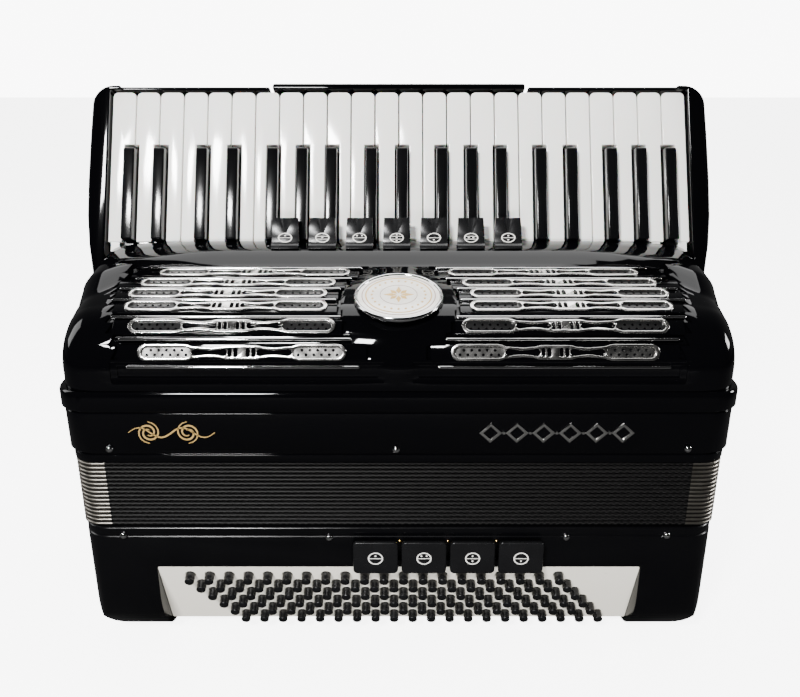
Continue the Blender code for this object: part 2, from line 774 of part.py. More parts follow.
bass_casing()
bass_button_board()
bass_button_bank("bass_note_buttons", (0, 1))
bass_button_bank("bass_chord_buttons", (2, 3, 4, 5))
bass_registers()
bass_end_cover()
bass_strap()
air_button()
strap_wheel()
bass_reed_block()
bellows()
treble_casing()
grille_cover()
grille_badge()
treble_registers()
treble_reed_block()

keyboard_frame = bpy.data.objects.new("keyboard_frame", None)
keyboard_frame.parent = CASING_FRAME
keyboard_frame.location = KEYBOARD_ORIGIN
keyboard_frame.rotation_euler.x = math.pi / 2 - KEY_LEAN
PARTS.objects.link(keyboard_frame)
fingerboard(keyboard_frame)
palm_switch(keyboard_frame)
key_axle(keyboard_frame)
white_keys(keyboard_frame)
black_keys(keyboard_frame)
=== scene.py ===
"""Looks of a piano accordion: every visible piece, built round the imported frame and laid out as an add-on."""

import math

import bpy
from mathutils import Matrix, Vector


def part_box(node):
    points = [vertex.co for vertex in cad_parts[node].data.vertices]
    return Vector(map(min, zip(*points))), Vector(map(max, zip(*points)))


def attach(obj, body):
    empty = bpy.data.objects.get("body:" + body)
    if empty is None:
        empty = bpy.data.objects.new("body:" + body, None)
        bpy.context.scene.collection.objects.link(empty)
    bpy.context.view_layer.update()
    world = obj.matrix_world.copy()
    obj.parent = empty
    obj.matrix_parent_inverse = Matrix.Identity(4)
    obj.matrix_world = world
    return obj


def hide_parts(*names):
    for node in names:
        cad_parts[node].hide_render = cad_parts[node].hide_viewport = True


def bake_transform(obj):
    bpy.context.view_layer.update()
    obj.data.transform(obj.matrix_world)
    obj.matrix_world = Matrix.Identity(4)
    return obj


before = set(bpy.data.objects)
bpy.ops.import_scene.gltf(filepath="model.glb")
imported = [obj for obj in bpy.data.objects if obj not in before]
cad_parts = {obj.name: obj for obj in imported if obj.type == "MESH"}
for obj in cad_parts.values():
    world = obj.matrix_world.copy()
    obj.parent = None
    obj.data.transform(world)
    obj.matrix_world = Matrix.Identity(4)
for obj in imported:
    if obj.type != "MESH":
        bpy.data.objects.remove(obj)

bl_info = {
    "name": "Piano accordion",
    "version": (1, 0, 0),
    "blender": (4, 5, 0),
    "location": "View3D > Sidebar > Accordion",
    "description": "Builds the visible pieces of a piano accordion round its frame",
    "category": "Add Mesh",
}

# ---------------------------------------------------------------- driving dimensions, in metres

# Heights and depths are told about the casings' own middle plane, MIDDLE_Y in the frame
MIDDLE_Y = (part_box("bellows")[0].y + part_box("bellows")[1].y) / 2
FRONT = 0.1025

UNDERSIDE = 0.0093
CHANNEL_ROOF = 0.0280
BASS_TOP = 0.1118
BASS_HALF = 0.2475
PLAN_CORNER = 0.022
FOOT_CORNER = 0.046
FOOT_FRONT = (0.042, 0.052)

BOARD_TOP = 0.0760
BOARD_TILT = math.radians(20.5)
BOARD_LENGTH = 0.0712
BOARD_THICK = 0.0040
BOARD_HALF = 0.190
ROWS, COLUMNS = 6, 20
BUTTON_PITCH = 0.0154
FIRST_BUTTON_X = -0.1656
ROW_SHIFT = 0.0077
FIRST_ROW, ROW_SPACING = 0.0100, 0.0108

BASS_TAB_XS = [-0.018 + 0.0376 * i for i in range(4)]
AIR_BUTTON = (0.045, 0.075)
STRAP_WHEEL = (0.015, 0.050)

BELLOWS_BOTTOM, BELLOWS_TOP = 0.1121, 0.1674
BELLOWS_HALF = (0.2475, 0.1005)
FOLD_DEPTH = 0.0110
LOZENGE = 0.0050

KEY_PITCH = 0.0203
WHITE_KEYS = 24
KEY_LEAN = math.radians(26.6)
KEYBOARD_ORIGIN = (0.028, 0.308)
KEY_LENGTH = 0.1283
KEY_THICK = 0.014
BLACK_LENGTH = 0.0815
TWO_KEYS = (-0.0028, 0.0028)
THREE_KEYS = (-0.0044, 0.0, 0.0044)
BLACK_GROUPS = (
    (1, (-0.0026, 0.0020)),
    (4, TWO_KEYS),
    (7, THREE_KEYS),
    (11, TWO_KEYS),
    (14, THREE_KEYS),
    (18, TWO_KEYS),
    (21, THREE_KEYS),
)
WELL_HALF = 0.2447
BOARD_BACK = -0.034
WELL_FLOOR = -0.0235
RAIL_START, RAIL_END = 0.1292, 0.1330
PALM_HALF = 0.1080

GRILLE_HALF = 0.2475
GRILLE_BOTTOM = 0.2266
GRILLE_SLOPE = math.radians(17.0)
GRILLE_BEND = 0.046
RIDGE = (0.0030, 0.3057)
RIDGE_CURVE = 0.165
APRON_END = (0.0225, 0.3083)
TREBLE_TAB_XS = [-0.0017 + 0.0303 * i for i in range(-3, 4)]
BADGE_Y = -0.0640
BADGE_TILT = math.radians(14.0)
PAPER_GLOW = 6.0
BACKDROP_LIGHT = 9.0

# Rows of trim on the grille, as millimetres along the ribbed floor from its back edge
ROD_ROWS = (0.0, 19.6, 35.5, 51.2, 71.0, 89.4, 109.7)
STRIP_ROWS = (9.4, 26.9, 43.0, 59.9, 79.4, 99.0)
ROD_CENTRES = (113.0, 120.2, 128.0, 130.1, 125.7, 117.8, 112.0)
STRIP_CENTRES = (113.0, 123.3, 128.6, 127.4, 120.6, 112.4)
FLOOR_START = (-0.0139, 0.2951)
FLAT_ROWS = 0.0599
ROW_BEND = 0.0446

TREBLE, BASS = "treble_side", "bass_side"


# ---------------------------------------------------------------- colours and materials

def linear(hex_colour):
    """sRGB hex to the linear colour that a shader takes."""
    values = [int(hex_colour[i : i + 2], 16) / 255 for i in (1, 3, 5)]
    return (*(v / 12.92 if v < 0.04045 else ((v + 0.055) / 1.055) ** 2.4 for v in values), 1.0)


def add_node(tree, kind, settings=None, links=None):
    """Adds a node, sets its properties, and links or fills its inputs."""
    node = tree.nodes.new(kind)
    for name, value in (settings or {}).items():
        setattr(node, name, value)
    for name, value in (links or {}).items():
        if isinstance(value, bpy.types.NodeSocket):
            tree.links.new(value, node.inputs[name])
        else:
            node.inputs[name].default_value = value
    return node


def finish_of(name, colour, roughness, metallic=0.0, grain=400.0, relief=0.02, spread=0.04, darker=None, sockets=None):
    """A moulded, sprayed or plated surface: its roughness wanders, and a fine grain lifts it.

    grain is in waves per metre, relief is the bump's strength, and darker is the colour that worn or
    dusty patches turn to."""
    material = bpy.data.materials.get(name)
    if material:
        return material
    material = bpy.data.materials.new(name)
    material.use_nodes = True
    tree = material.node_tree
    shader = tree.nodes["Principled BSDF"]
    place = add_node(tree, "ShaderNodeTexCoord").outputs["Object"]
    patches = add_node(
        tree, "ShaderNodeTexNoise", links={"Vector": place, "Scale": grain / 12, "Detail": 4.0}
    ).outputs["Fac"]
    fine = add_node(tree, "ShaderNodeTexNoise", links={"Vector": place, "Scale": grain, "Detail": 3.0})
    rough = add_node(
        tree,
        "ShaderNodeMapRange",
        links={"Value": patches, "From Min": 0.3, "From Max": 0.7,
               "To Min": max(roughness - spread, 0.02), "To Max": roughness + spread},
    )
    tree.links.new(rough.outputs["Result"], shader.inputs["Roughness"])
    tint = add_node(
        tree,
        "ShaderNodeMix",
        {"data_type": "RGBA"},
        {"Factor": patches, 6: linear(colour), 7: linear(darker or colour)},
    )
    tree.links.new(tint.outputs[2], shader.inputs["Base Color"])
    bump = add_node(
        tree, "ShaderNodeBump", links={"Height": fine.outputs["Fac"], "Strength": relief, "Distance": 0.0005}
    )
    tree.links.new(bump.outputs["Normal"], shader.inputs["Normal"])
    shader.inputs["Metallic"].default_value = metallic
    for socket, value in (sockets or {}).items():
        shader.inputs[socket].default_value = value
    return material


def black_lacquer():
    """Sprayed and polished nitro lacquer on celluloid: deep black with sharp reflections."""
    return finish_of("polished_nitro_lacquer", "#020203", 0.05, grain=40, relief=0.006, spread=0.02,
                     darker="#040405", sockets={"IOR": 1.32})


def satin_lacquer():
    """The same lacquer rubbed down: black with a soft, low gloss."""
    return finish_of("satin_lacquer", "#030304", 0.22, grain=260, relief=0.02, darker="#060607", sockets={"IOR": 1.34})


def moulded_black():
    """Injection-moulded ABS: nearly black, with a satin skin."""
    return finish_of("moulded_black_abs", "#0B0B0C", 0.26, grain=900, relief=0.05, darker="#111112", sockets={"IOR": 1.40})


def black_key_plastic():
    """Compression-moulded phenolic of the black keys: hard, dark and polished by fingers."""
    return finish_of("black_key_phenolic", "#060607", 0.12, grain=300, relief=0.02, darker="#0A0A0B", sockets={"IOR": 1.38})


def white_celluloid():
    """Cast celluloid sheet on the white keys: clean white, a soft gloss and a little light inside it."""
    return finish_of("white_key_celluloid", "#FAF9F6", 0.13, grain=120, relief=0.006, spread=0.03, darker="#EAE8E1",
                     sockets={"Subsurface Weight": 0.12, "Subsurface Scale": 0.002})


def ivory_plastic():
    """Ivory-coloured celluloid of the button board: warm white, slightly mottled, satin."""
    return finish_of("ivory_celluloid", "#F5F1E6", 0.30, grain=150, relief=0.015, darker="#ECE6D8")


def chrome():
    """Bright chrome plate on brass: neutral silver, very sharp."""
    return finish_of("bright_chrome_plate", "#DADADB", 0.09, 1.0, grain=500, relief=0.01, spread=0.03, darker="#C9C8C8")


def polished_nickel():
    """Stamped nickel silver, buffed: brighter and whiter than steel, with fine buffing haze."""
    return finish_of("polished_nickel_silver", "#E6E5E2", 0.20, 1.0, grain=1500, relief=0.03, spread=0.06, darker="#D5D3CF")


def brushed_steel():
    """Nickel-plated steel of the bellows corners: grey, drawn finish, a little dull."""
    return finish_of("plated_steel_corner", "#98938B", 0.36, 1.0, grain=1200, relief=0.06, spread=0.06, darker="#7E7A73")


def dark_steel_and_painted_shade():
    """Dark grey steel with a worn shine. On the screens of the five upper rows it is painted shade: the same pierced
    sheet as the lowest row's nickel screens, shown dark. The grille screws wear it too.
    """
    return finish_of("blackened_perforated_steel", "#0D0D0E", 0.35, 0.4, grain=900, relief=0.08, darker="#161616")


def brass():
    """Lacquered brass of the small pins: warm yellow metal."""
    return finish_of("lacquered_brass", "#C9A55C", 0.22, 1.0, grain=900, relief=0.02, darker="#B08C48")


def gold_leaf_paint():
    """Gold bronze paint: metallic pigment in varnish, a little grainy."""
    return finish_of("gold_bronze_paint", "#D3B273", 0.38, 0.45, grain=2500, relief=0.08, darker="#BF9A58")


def white_enamel():
    """Fired enamel of the badge: opaque creamy white under a glassy skin."""
    return finish_of("white_enamel", "#F4F1EA", 0.10, grain=200, relief=0.006, darker="#ECE7DC",
                     sockets={"Coat Weight": 0.5, "Coat Roughness": 0.05})


def white_paint():
    """Engraved lines filled with white paint: matt and chalky."""
    return finish_of("white_filler_paint", "#EDEBE6", 0.5, grain=1800, relief=0.05, darker="#DAD7D0")


def umber_paint():
    """Brown-red enamel line on the badge."""
    return finish_of("umber_enamel", "#7A3E22", 0.3, grain=900, relief=0.02, darker="#64301A")


def rubber():
    """Moulded rubber of the feet's pads: matt black."""
    return finish_of("moulded_rubber", "#161616", 0.75, grain=1500, relief=0.2, darker="#202020")


def felt():
    """Pressed wool felt: dark red, fuzzy."""
    material = finish_of("pressed_felt", "#5A1016", 0.95, grain=2200, relief=0.6, darker="#3E0A0F",
                         sockets={"Sheen Weight": 0.4, "Sheen Roughness": 0.5})
    return material


def leather():
    """Split cowhide with a pebbled black finish: creased, satin, browner where it is worn."""
    material = bpy.data.materials.get("pebbled_black_leather")
    if material:
        return material
    material = finish_of("pebbled_black_leather", "#141210", 0.48, grain=700, relief=0.15, darker="#221B16")
    tree = material.node_tree
    place = add_node(tree, "ShaderNodeTexCoord").outputs["Object"]
    # Leather pebbles are about 1.2 mm across
    pebbles = add_node(tree, "ShaderNodeTexVoronoi", links={"Vector": place, "Scale": 850.0}).outputs["Distance"]
    bump = add_node(tree, "ShaderNodeBump", links={"Height": pebbles, "Strength": 0.5, "Distance": 0.0006})
    tree.links.new(bump.outputs["Normal"], tree.nodes["Principled BSDF"].inputs["Normal"])
    return material


def spruce():
    """Planed spruce and maple of the reed blocks: pale brown with long darker grain."""
    material = bpy.data.materials.get("reed_block_spruce")
    if material:
        return material
    material = finish_of("reed_block_spruce", "#C19A66", 0.55, grain=500, relief=0.05)
    tree = material.node_tree
    place = add_node(tree, "ShaderNodeTexCoord").outputs["Object"]
    along = add_node(tree, "ShaderNodeMapping", links={"Vector": place, "Scale": (12.0, 320.0, 320.0)})
    grain = add_node(tree, "ShaderNodeTexNoise", links={"Vector": along.outputs["Vector"], "Scale": 1.0, "Detail": 5.0})
    tint = add_node(
        tree,
        "ShaderNodeMix",
        {"data_type": "RGBA"},
        {"Factor": grain.outputs["Fac"], 6: linear("#D6B280"), 7: linear("#8F6437")},
    )
    tree.links.new(tint.outputs[2], tree.nodes["Principled BSDF"].inputs["Base Color"])
    return material


def bellows_cloth():
    """Leathercloth embossed with small lozenges: black, with painted shade in the lozenge hollows and the raised net
    painted lighter as a painted sheen.
    """
    material = bpy.data.materials.get("embossed_bellows_cloth")
    if material:
        return material
    material = bpy.data.materials.new("embossed_bellows_cloth")
    material.use_nodes = True
    tree = material.node_tree
    shader = tree.nodes["Principled BSDF"]
    around = add_node(tree, "ShaderNodeSeparateXYZ", links={0: add_node(tree, "ShaderNodeTexCoord").outputs["UV"]})
    # A lozenge takes the whole of the fold's edge
    waves = []
    for sign in (1, -1):
        phase = add_node(
            tree,
            "ShaderNodeMath",
            {"operation": "MULTIPLY_ADD"},
            {0: around.outputs["Y"], 1: sign * math.pi / 0.0027, 2: 0.0},
        )
        total = add_node(
            tree,
            "ShaderNodeMath",
            {"operation": "MULTIPLY_ADD"},
            {0: around.outputs["X"], 1: math.pi / LOZENGE, 2: phase.outputs[0]},
        )
        wave = add_node(tree, "ShaderNodeMath", {"operation": "SINE"}, {0: total.outputs[0]})
        waves.append(add_node(tree, "ShaderNodeMath", {"operation": "ABSOLUTE"}, {0: wave.outputs[0]}).outputs[0])
    net = add_node(tree, "ShaderNodeMath", {"operation": "MINIMUM"}, {0: waves[0], 1: waves[1]}).outputs[0]
    raised = add_node(
        tree,
        "ShaderNodeMapRange",
        {"interpolation_type": "SMOOTHSTEP"},
        {"Value": net, "From Min": 0.14, "From Max": 0.42, "To Min": 1.0, "To Max": 0.0},
    ).outputs["Result"]
    # Painted shade and sheen: the emboss mask paints the hollows darker and the raised net lighter
    tint = add_node(
        tree,
        "ShaderNodeMix",
        {"data_type": "RGBA"},
        {"Factor": raised, 6: linear("#020202"), 7: linear("#1F1E1E")},
    )
    tree.links.new(tint.outputs[2], shader.inputs["Base Color"])
    bump = add_node(tree, "ShaderNodeBump", links={"Height": raised, "Strength": 0.8, "Distance": 0.0005})
    tree.links.new(bump.outputs["Normal"], shader.inputs["Normal"])
    shader.inputs["Roughness"].default_value = 0.46
    shader.inputs["IOR"].default_value = 1.30
    return material


def backdrop_paper():
    """Matt white paper of the photo studio, lit from below for the camera and dim in mirror images."""
    material = bpy.data.materials.get("backdrop_paper")
    if material:
        return material
    material = finish_of("backdrop_paper", "#F4F4F4", 0.9, grain=60, relief=0.0)
    tree = material.node_tree
    shader = tree.nodes["Principled BSDF"]
    seen = add_node(tree, "ShaderNodeLightPath").outputs["Is Camera Ray"]
    tint = add_node(
        tree, "ShaderNodeMix", {"data_type": "RGBA"}, {"Factor": seen, 6: linear("#2A2A2A"), 7: linear("#F4F4F4")}
    )
    tree.links.new(tint.outputs[2], shader.inputs["Base Color"])
    glow = add_node(tree, "ShaderNodeMath", {"operation": "MULTIPLY"}, {0: seen, 1: PAPER_GLOW})
    tree.links.new(glow.outputs[0], shader.inputs["Emission Strength"])
    shader.inputs["Emission Color"].default_value = linear("#FFFFFF")
    return material


# ---------------------------------------------------------------- modelling helpers

def active(piece):
    """Makes this piece the only selected one, and the active one."""
    bpy.ops.object.select_all(action="DESELECT")
    piece.select_set(True)
    bpy.context.view_layer.objects.active = piece
    return piece


def arc(centre, radius, start, end, steps):
    """Points on an arc, its angles in degrees."""
    angles = [math.radians(start + (end - start) * i / steps) for i in range(steps + 1)]
    return [(centre[0] + radius * math.cos(a), centre[1] + radius * math.sin(a)) for a in angles]


def rounded_rectangle(half_x, half_y, radius, steps=10, centre=(0, 0)):
    points = []
    for turn, (sx, sy) in enumerate(((1, 1), (-1, 1), (-1, -1), (1, -1))):
        middle = (centre[0] + sx * (half_x - radius), centre[1] + sy * (half_y - radius))
        points += arc(middle, radius, 90 * turn, 90 * turn + 90, steps)
    return points


def circle(centre, radius, sides=24):
    return arc(centre, radius, 0, 360 - 360 / sides, sides - 1)


AXES = {
    "X": lambda a, b, c: (c, a, b),
    "Y": lambda a, b, c: (a, c, b),
    "Z": lambda a, b, c: (a, b, c),
}


def outward(piece):
    """Merges doubled points and turns every face outwards."""
    active(piece)
    bpy.ops.object.mode_set(mode="EDIT")
    bpy.ops.mesh.select_all(action="SELECT")
    bpy.ops.mesh.remove_doubles(threshold=1e-6)
    bpy.ops.mesh.normals_make_consistent(inside=False)
    bpy.ops.object.mode_set(mode="OBJECT")
    return piece


def prism(points, low, high, axis="Z"):
    """A flat outline drawn out along an axis."""
    bpy.ops.object.select_all(action="DESELECT")
    bpy.ops.mesh.primitive_circle_add(vertices=len(points), radius=1, fill_type="NGON")
    piece = bpy.context.object
    for vertex, (a, b) in zip(piece.data.vertices, points):
        vertex.co = (a, b, 0)
    bpy.ops.object.mode_set(mode="EDIT")
    bpy.ops.mesh.select_all(action="SELECT")
    bpy.ops.mesh.extrude_region_move(TRANSFORM_OT_translate={"value": (0, 0, 1)})
    bpy.ops.object.mode_set(mode="OBJECT")
    to = AXES[axis]
    for vertex in piece.data.vertices:
        a, b, c = vertex.co
        vertex.co = to(a, b, low + (high - low) * round(c))
    return outward(piece)


def box(x, y, z):
    return prism([(x[0], y[0]), (x[1], y[0]), (x[1], y[1]), (x[0], y[1])], *z)


def turned(profile, sides=24):
    """A closed round solid about Z from (radius, height) points, lowest first."""
    bpy.ops.object.select_all(action="DESELECT")
    bpy.ops.mesh.primitive_circle_add(vertices=sides, radius=1, fill_type="NGON")
    piece = bpy.context.object
    bpy.ops.object.mode_set(mode="EDIT")
    for _ in profile[1:]:
        bpy.ops.mesh.extrude_region_move(TRANSFORM_OT_translate={"value": (0, 0, 1)})
    bpy.ops.object.mode_set(mode="OBJECT")
    for vertex in piece.data.vertices:
        radius, height = profile[round(vertex.co.z)]
        flat = Vector((vertex.co.x, vertex.co.y)).normalized()
        vertex.co = (flat.x * radius, flat.y * radius, height)
    return outward(piece)


def surface(columns, rows, place, unwrap=None):
    """A grid sheet whose crossing (i, j) goes to place(i, j); unwrap(i, j) gives its UV in metres."""
    bpy.ops.object.select_all(action="DESELECT")
    bpy.ops.mesh.primitive_grid_add(x_subdivisions=columns - 1, y_subdivisions=rows - 1, size=1)
    piece = bpy.context.object
    crossings = [
        (round((v.co.x + 0.5) * (columns - 1)), round((v.co.y + 0.5) * (rows - 1))) for v in piece.data.vertices
    ]
    for vertex, (i, j) in zip(piece.data.vertices, crossings):
        vertex.co = place(i, j)
    if unwrap:
        coordinates = piece.data.uv_layers.active.data
        for loop in piece.data.loops:
            coordinates[loop.index].uv = unwrap(*crossings[loop.vertex_index])
    return outward(piece)


def closed_tube(tube):
    """Fills the two open ends of a tube."""
    active(tube)
    bpy.ops.object.mode_set(mode="EDIT")
    bpy.ops.mesh.select_all(action="DESELECT")
    bpy.ops.mesh.select_non_manifold(extend=False)
    bpy.ops.mesh.edge_face_add()
    bpy.ops.object.mode_set(mode="OBJECT")
    return outward(tube)


def moved(piece, place):
    """Moves every point of a piece by a function of its place, and turns its faces outwards again."""
    for vertex in piece.data.vertices:
        vertex.co = place(vertex.co)
    return outward(piece)


def copied(piece, place):
    """A copy of a piece with its own mesh, its points moved by a function."""
    twin = piece.copy()
    twin.data = piece.data.copy()
    bpy.context.collection.objects.link(twin)
    for vertex in twin.data.vertices:
        vertex.co = place(vertex.co)
    twin.data.update()
    return twin


def shifted(x=0.0, y=0.0, z=0.0):
    return lambda point: point + Vector((x, y, z))


def joined(pieces):
    active(pieces[0])
    for piece in pieces[1:]:
        piece.select_set(True)
    bpy.ops.object.join()
    return bpy.context.object


def removed(piece):
    mesh = piece.data
    bpy.data.objects.remove(piece)
    bpy.data.meshes.remove(mesh)


def modify(piece, kind, **settings):
    """Adds a modifier, sets it and applies it."""
    modifier = piece.modifiers.new(kind.lower(), kind)
    for name, value in settings.items():
        setattr(modifier, name, value)
    active(piece)
    bpy.ops.object.modifier_apply(modifier=modifier.name)
    return piece


def cut(piece, cutters, operation="DIFFERENCE", crossing=False):
    """Takes the cutters away from a piece, or joins them to it."""
    tool = joined(cutters) if isinstance(cutters, list) else cutters
    modify(piece, "BOOLEAN", operation=operation, object=tool, solver="EXACT", use_self=crossing)
    removed(tool)
    if not piece.data.polygons:
        raise RuntimeError(f"{piece.name} has nothing left after a cut")
    return piece


def eased(piece, width=0.0005, segments=2, angle=30.0, smooth=38.0):
    """Rounds a piece's sharp edges a little, and shades it smooth between them."""
    if width:
        modify(piece, "BEVEL", width=width, segments=segments, limit_method="ANGLE",
               angle_limit=math.radians(angle), harden_normals=False, use_clamp_overlap=True)
    active(piece)
    bpy.ops.object.shade_smooth_by_angle(angle=math.radians(smooth))
    return piece


def fitted(piece, name, body, material, replaces=()):
    """Names a finished piece, sets it about the casings' middle and has it ride on its body."""
    piece.name = name
    piece.data.name = name
    for vertex in piece.data.vertices:
        vertex.co.y += MIDDLE_Y
    piece.data.materials.clear()
    piece.data.materials.append(material)
    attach(piece, body)
    if replaces:
        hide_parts(*replaces)
    return piece


def keyboard_point(s, h):
    """(y, z) of a point s along the keys and h above them."""
    sine, cosine = math.sin(KEY_LEAN), math.cos(KEY_LEAN)
    return (KEYBOARD_ORIGIN[0] + s * sine - h * cosine, KEYBOARD_ORIGIN[1] + s * cosine + h * sine)


def on_keyboard(point):
    """From (x, s, h) to the casings' frame."""
    return Vector((point.x, *keyboard_point(point.y, point.z)))


def board_point(along, depth=0.0):
    """(y, z) on the button board: down it from its top edge, and inward from its face."""
    sine, cosine = math.sin(BOARD_TILT), math.cos(BOARD_TILT)
    return (-FRONT + along * sine + depth * cosine, BOARD_TOP - along * cosine + depth * sine)


def board_y(height, depth):
    y, z = board_point(0, depth)
    return y + (z - height) * math.tan(BOARD_TILT)


# ---------------------------------------------------------------- grille cover

def grille_height(y):
    """Height of the plain slope that the badge lies on."""
    return RIDGE[1] + (y - RIDGE[0]) * math.tan(GRILLE_SLOPE)


def ridge_y(x):
    """The ridge is straight in the middle and curves forward towards the ends."""
    over = max(abs(x) - 0.130, 0)
    return RIDGE[0] - (RIDGE_CURVE - math.sqrt(RIDGE_CURVE**2 - min(over, 0.10) ** 2))


def row_height(y):
    """Height of the sloping top in front of the band, level with the rows of trim."""
    return floor_point((FLOOR_START[0] - y) / 0.974)[1] + 0.0006


def grille_line(x, inset):
    """(y, z) points over the cover, from the keys to its lower front edge, moved in by the inset."""
    centre = (GRILLE_BEND - FRONT, 0.2394)
    apron_slope, band_slope = 0.133, math.tan(math.radians(33))
    ridge = ridge_y(x)
    top = RIDGE[1] + (ridge - RIDGE[0]) * apron_slope
    foot = ridge
    while top - (ridge - foot) * band_slope > row_height(foot):
        foot -= 0.0004
    line = [(y, RIDGE[1] + (y - RIDGE[0]) * apron_slope - inset) for y in (APRON_END[0], 0.0120, (0.0120 + ridge) / 2)]
    line += [(ridge + 0.0022, top + 0.0001 - inset), (ridge + 0.0004, top - 0.0004 - inset)]
    for part in (0.12, 0.45, 0.8, 0.95, 1.06):
        y = ridge - (ridge - foot) * part
        line.append((y, max(top - (ridge - y) * band_slope, row_height(y)) - 1.1 * inset))
    start = centre[0] - GRILLE_BEND * math.sin(GRILLE_SLOPE) + 0.0015
    last = line[-1][0]
    for i in range(1, 7):
        y = last + (start - last) * i / 6
        line.append((y, row_height(y) - 1.03 * inset))
    line += arc(centre, GRILLE_BEND - inset, 92 + math.degrees(GRILLE_SLOPE), 180, 12)
    return line + [(inset - FRONT, z) for z in (0.2350, 0.2305, GRILLE_BOTTOM)]


def grille_stations(wall=0.0):
    """(x, how far the outline is moved in) across the cover: flat, and rounded over at both ends."""
    radius = 0.020 - wall
    half = [(x, wall) for x in (0.0, 0.040, 0.080, 0.110, 0.130, 0.150, 0.170, 0.190, 0.207, 0.219)]
    for i in range(11):
        turn = math.radians(9 * i)
        x = GRILLE_HALF - wall - radius * (1 - math.sin(turn))
        half.append((x, wall + 0.0005 + radius * 0.86 * (1 - math.cos(turn))))
    return [(-x, inset) for x, inset in reversed(half[1:])] + half


def crown(x):
    """How far the cover's top falls towards its ends."""
    over = max(abs(x) - 0.150, 0)
    return over * over / 1.9


def grille_solid(wall, rear):
    """The cover's whole volume, moved in by a wall, with its back closed through the rear points."""
    stations = grille_stations(wall)
    lines = [grille_line(x, inset) + rear for x, inset in stations]
    count = len(lines[0])

    def place(i, j):
        x = stations[i][0]
        y, z = lines[i][j % count]
        lowered = crown(x) * max(0.0, min(1.0, (z - 0.2400) / 0.03))
        return (x, y, z - lowered)

    return closed_tube(surface(len(stations), count + 1, place))


def floor_point(along, lift=0.0):
    """(y, z) and tilt on the ribbed floor's row line, at metres along it and lifted off it."""
    y, z = FLOOR_START
    steps = 48
    tilt = math.radians(8)
    step = along / steps
    for i in range(steps):
        here = (i + 0.5) * step
        if here < FLAT_ROWS:
            tilt = math.radians(8 + 10 * max(here, 0) / FLAT_ROWS)
        else:
            tilt = math.radians(18) + (here - FLAT_ROWS) / ROW_BEND
        y -= step * math.cos(tilt)
        z -= step * math.sin(tilt)
    return y - lift * math.sin(tilt), z + lift * math.cos(tilt), tilt


# Half-millimetre steps of the recess: where each row of trim begins and ends, in metres from the middle
INNER_ENDS = (0.024, 0.028, 0.032, 0.037, 0.041, 0.0425, 0.043, 0.0425, 0.041, 0.038, 0.034, 0.020, 0.0165)
OUTER_ENDS = (0.2250, 0.2140, 0.2150, 0.2200, 0.2195, 0.2180, 0.2165, 0.2150, 0.2135, 0.2120, 0.2095, 0.2070, 0.2050)


def row_edges():
    """The rows' boundaries along the floor, midway between neighbours."""
    rows = sorted(ROD_ROWS[:-1] + STRIP_ROWS)
    edges = [rows[0] - 1.9] + [(a + b) / 2 for a, b in zip(rows, rows[1:])] + [rows[-1] + 5.2]
    return [edge / 1000 for edge in edges]


def recess_solid(side, swell):
    """The recess on one side, its outer ends slanted row by row so that they make saw teeth."""
    edges = row_edges()
    tooth, step = 0.0042, 0.0001
    low, high = -0.0034 - swell, 0.0120
    stations = []
    for row, (back, front) in enumerate(zip(edges, edges[1:])):
        inner, outer = INNER_ENDS[row] - swell, OUTER_ENDS[row] + swell
        stations += [(back + step, inner, outer - tooth), (front - step, inner, outer)]
    stations[0] = (stations[0][0] - swell, *stations[0][1:])
    stations[-1] = (stations[-1][0] + swell, *stations[-1][1:])

    def place(i, j):
        along, start, end = stations[i]
        x, lift = ((start, low), (end, low), (end, high), (start, high))[j % 4]
        y, z, _ = floor_point(along, lift)
        return (side * x, y, z)

    return closed_tube(surface(len(stations), 5, place))


def front_band(low, high, depth, x):
    """A cutter that follows the cover's front bend at a depth, between two heights."""
    centre = (GRILLE_BEND - FRONT, 0.2394)
    radius = GRILLE_BEND - depth
    top = math.degrees(math.asin(min((high - centre[1]) / radius, 1)))
    line = [(-0.13, high), (-0.13, low), (depth - FRONT, low)]
    line += [point for point in reversed(arc(centre, radius, 180 - top, 180, 6))]
    return prism(line, *sorted(x), axis="X")


def grille_cover():
    """Thin cover with two ribbed recesses: the outer volume less the inner one, whose roof has two pans."""
    shell = grille_solid(0.0, [(0.0295, GRILLE_BOTTOM), (0.0295, 0.2850)])
    inside = grille_solid(0.0028, [(0.0500, 0.2000), (0.0500, 0.3055)])
    for side in (-1, 1):
        cut(inside, recess_solid(side, 0.0016))
    cut(shell, inside)
    for side in (-1, 1):
        cut(shell, recess_solid(side, 0.0))
        cut(shell, front_band(0.2330, 0.2490, 0.0009, (side * 0.0105, side * 0.2080)))
        cut(shell, front_band(0.2368, 0.2462, 0.0018, (side * 0.0148, side * 0.2030)))
    notches = [box((x - 0.0050, x + 0.0050), (0.0080, 0.0400), (0.2900, 0.3200)) for x in TREBLE_TAB_XS]
    cut(shell, notches)
    gap = 0.0006
    cheek = [keyboard_point(s, h) for s, h in (
        (-0.0300 - gap, 0.0045 + gap), (-0.0300 - gap, BOARD_BACK - gap), (0.03, BOARD_BACK - gap), (0.03, 0.0045 + gap))]
    for side in (-1, 1):
        cut(shell, prism(cheek, *sorted((side * (WELL_HALF - gap), side * 0.26)), axis="X"))
    eased(shell, 0.0005, 2, 35, 32)
    fitted(shell, "grille_shell", TREBLE, black_lacquer(), ["grille_cover"])


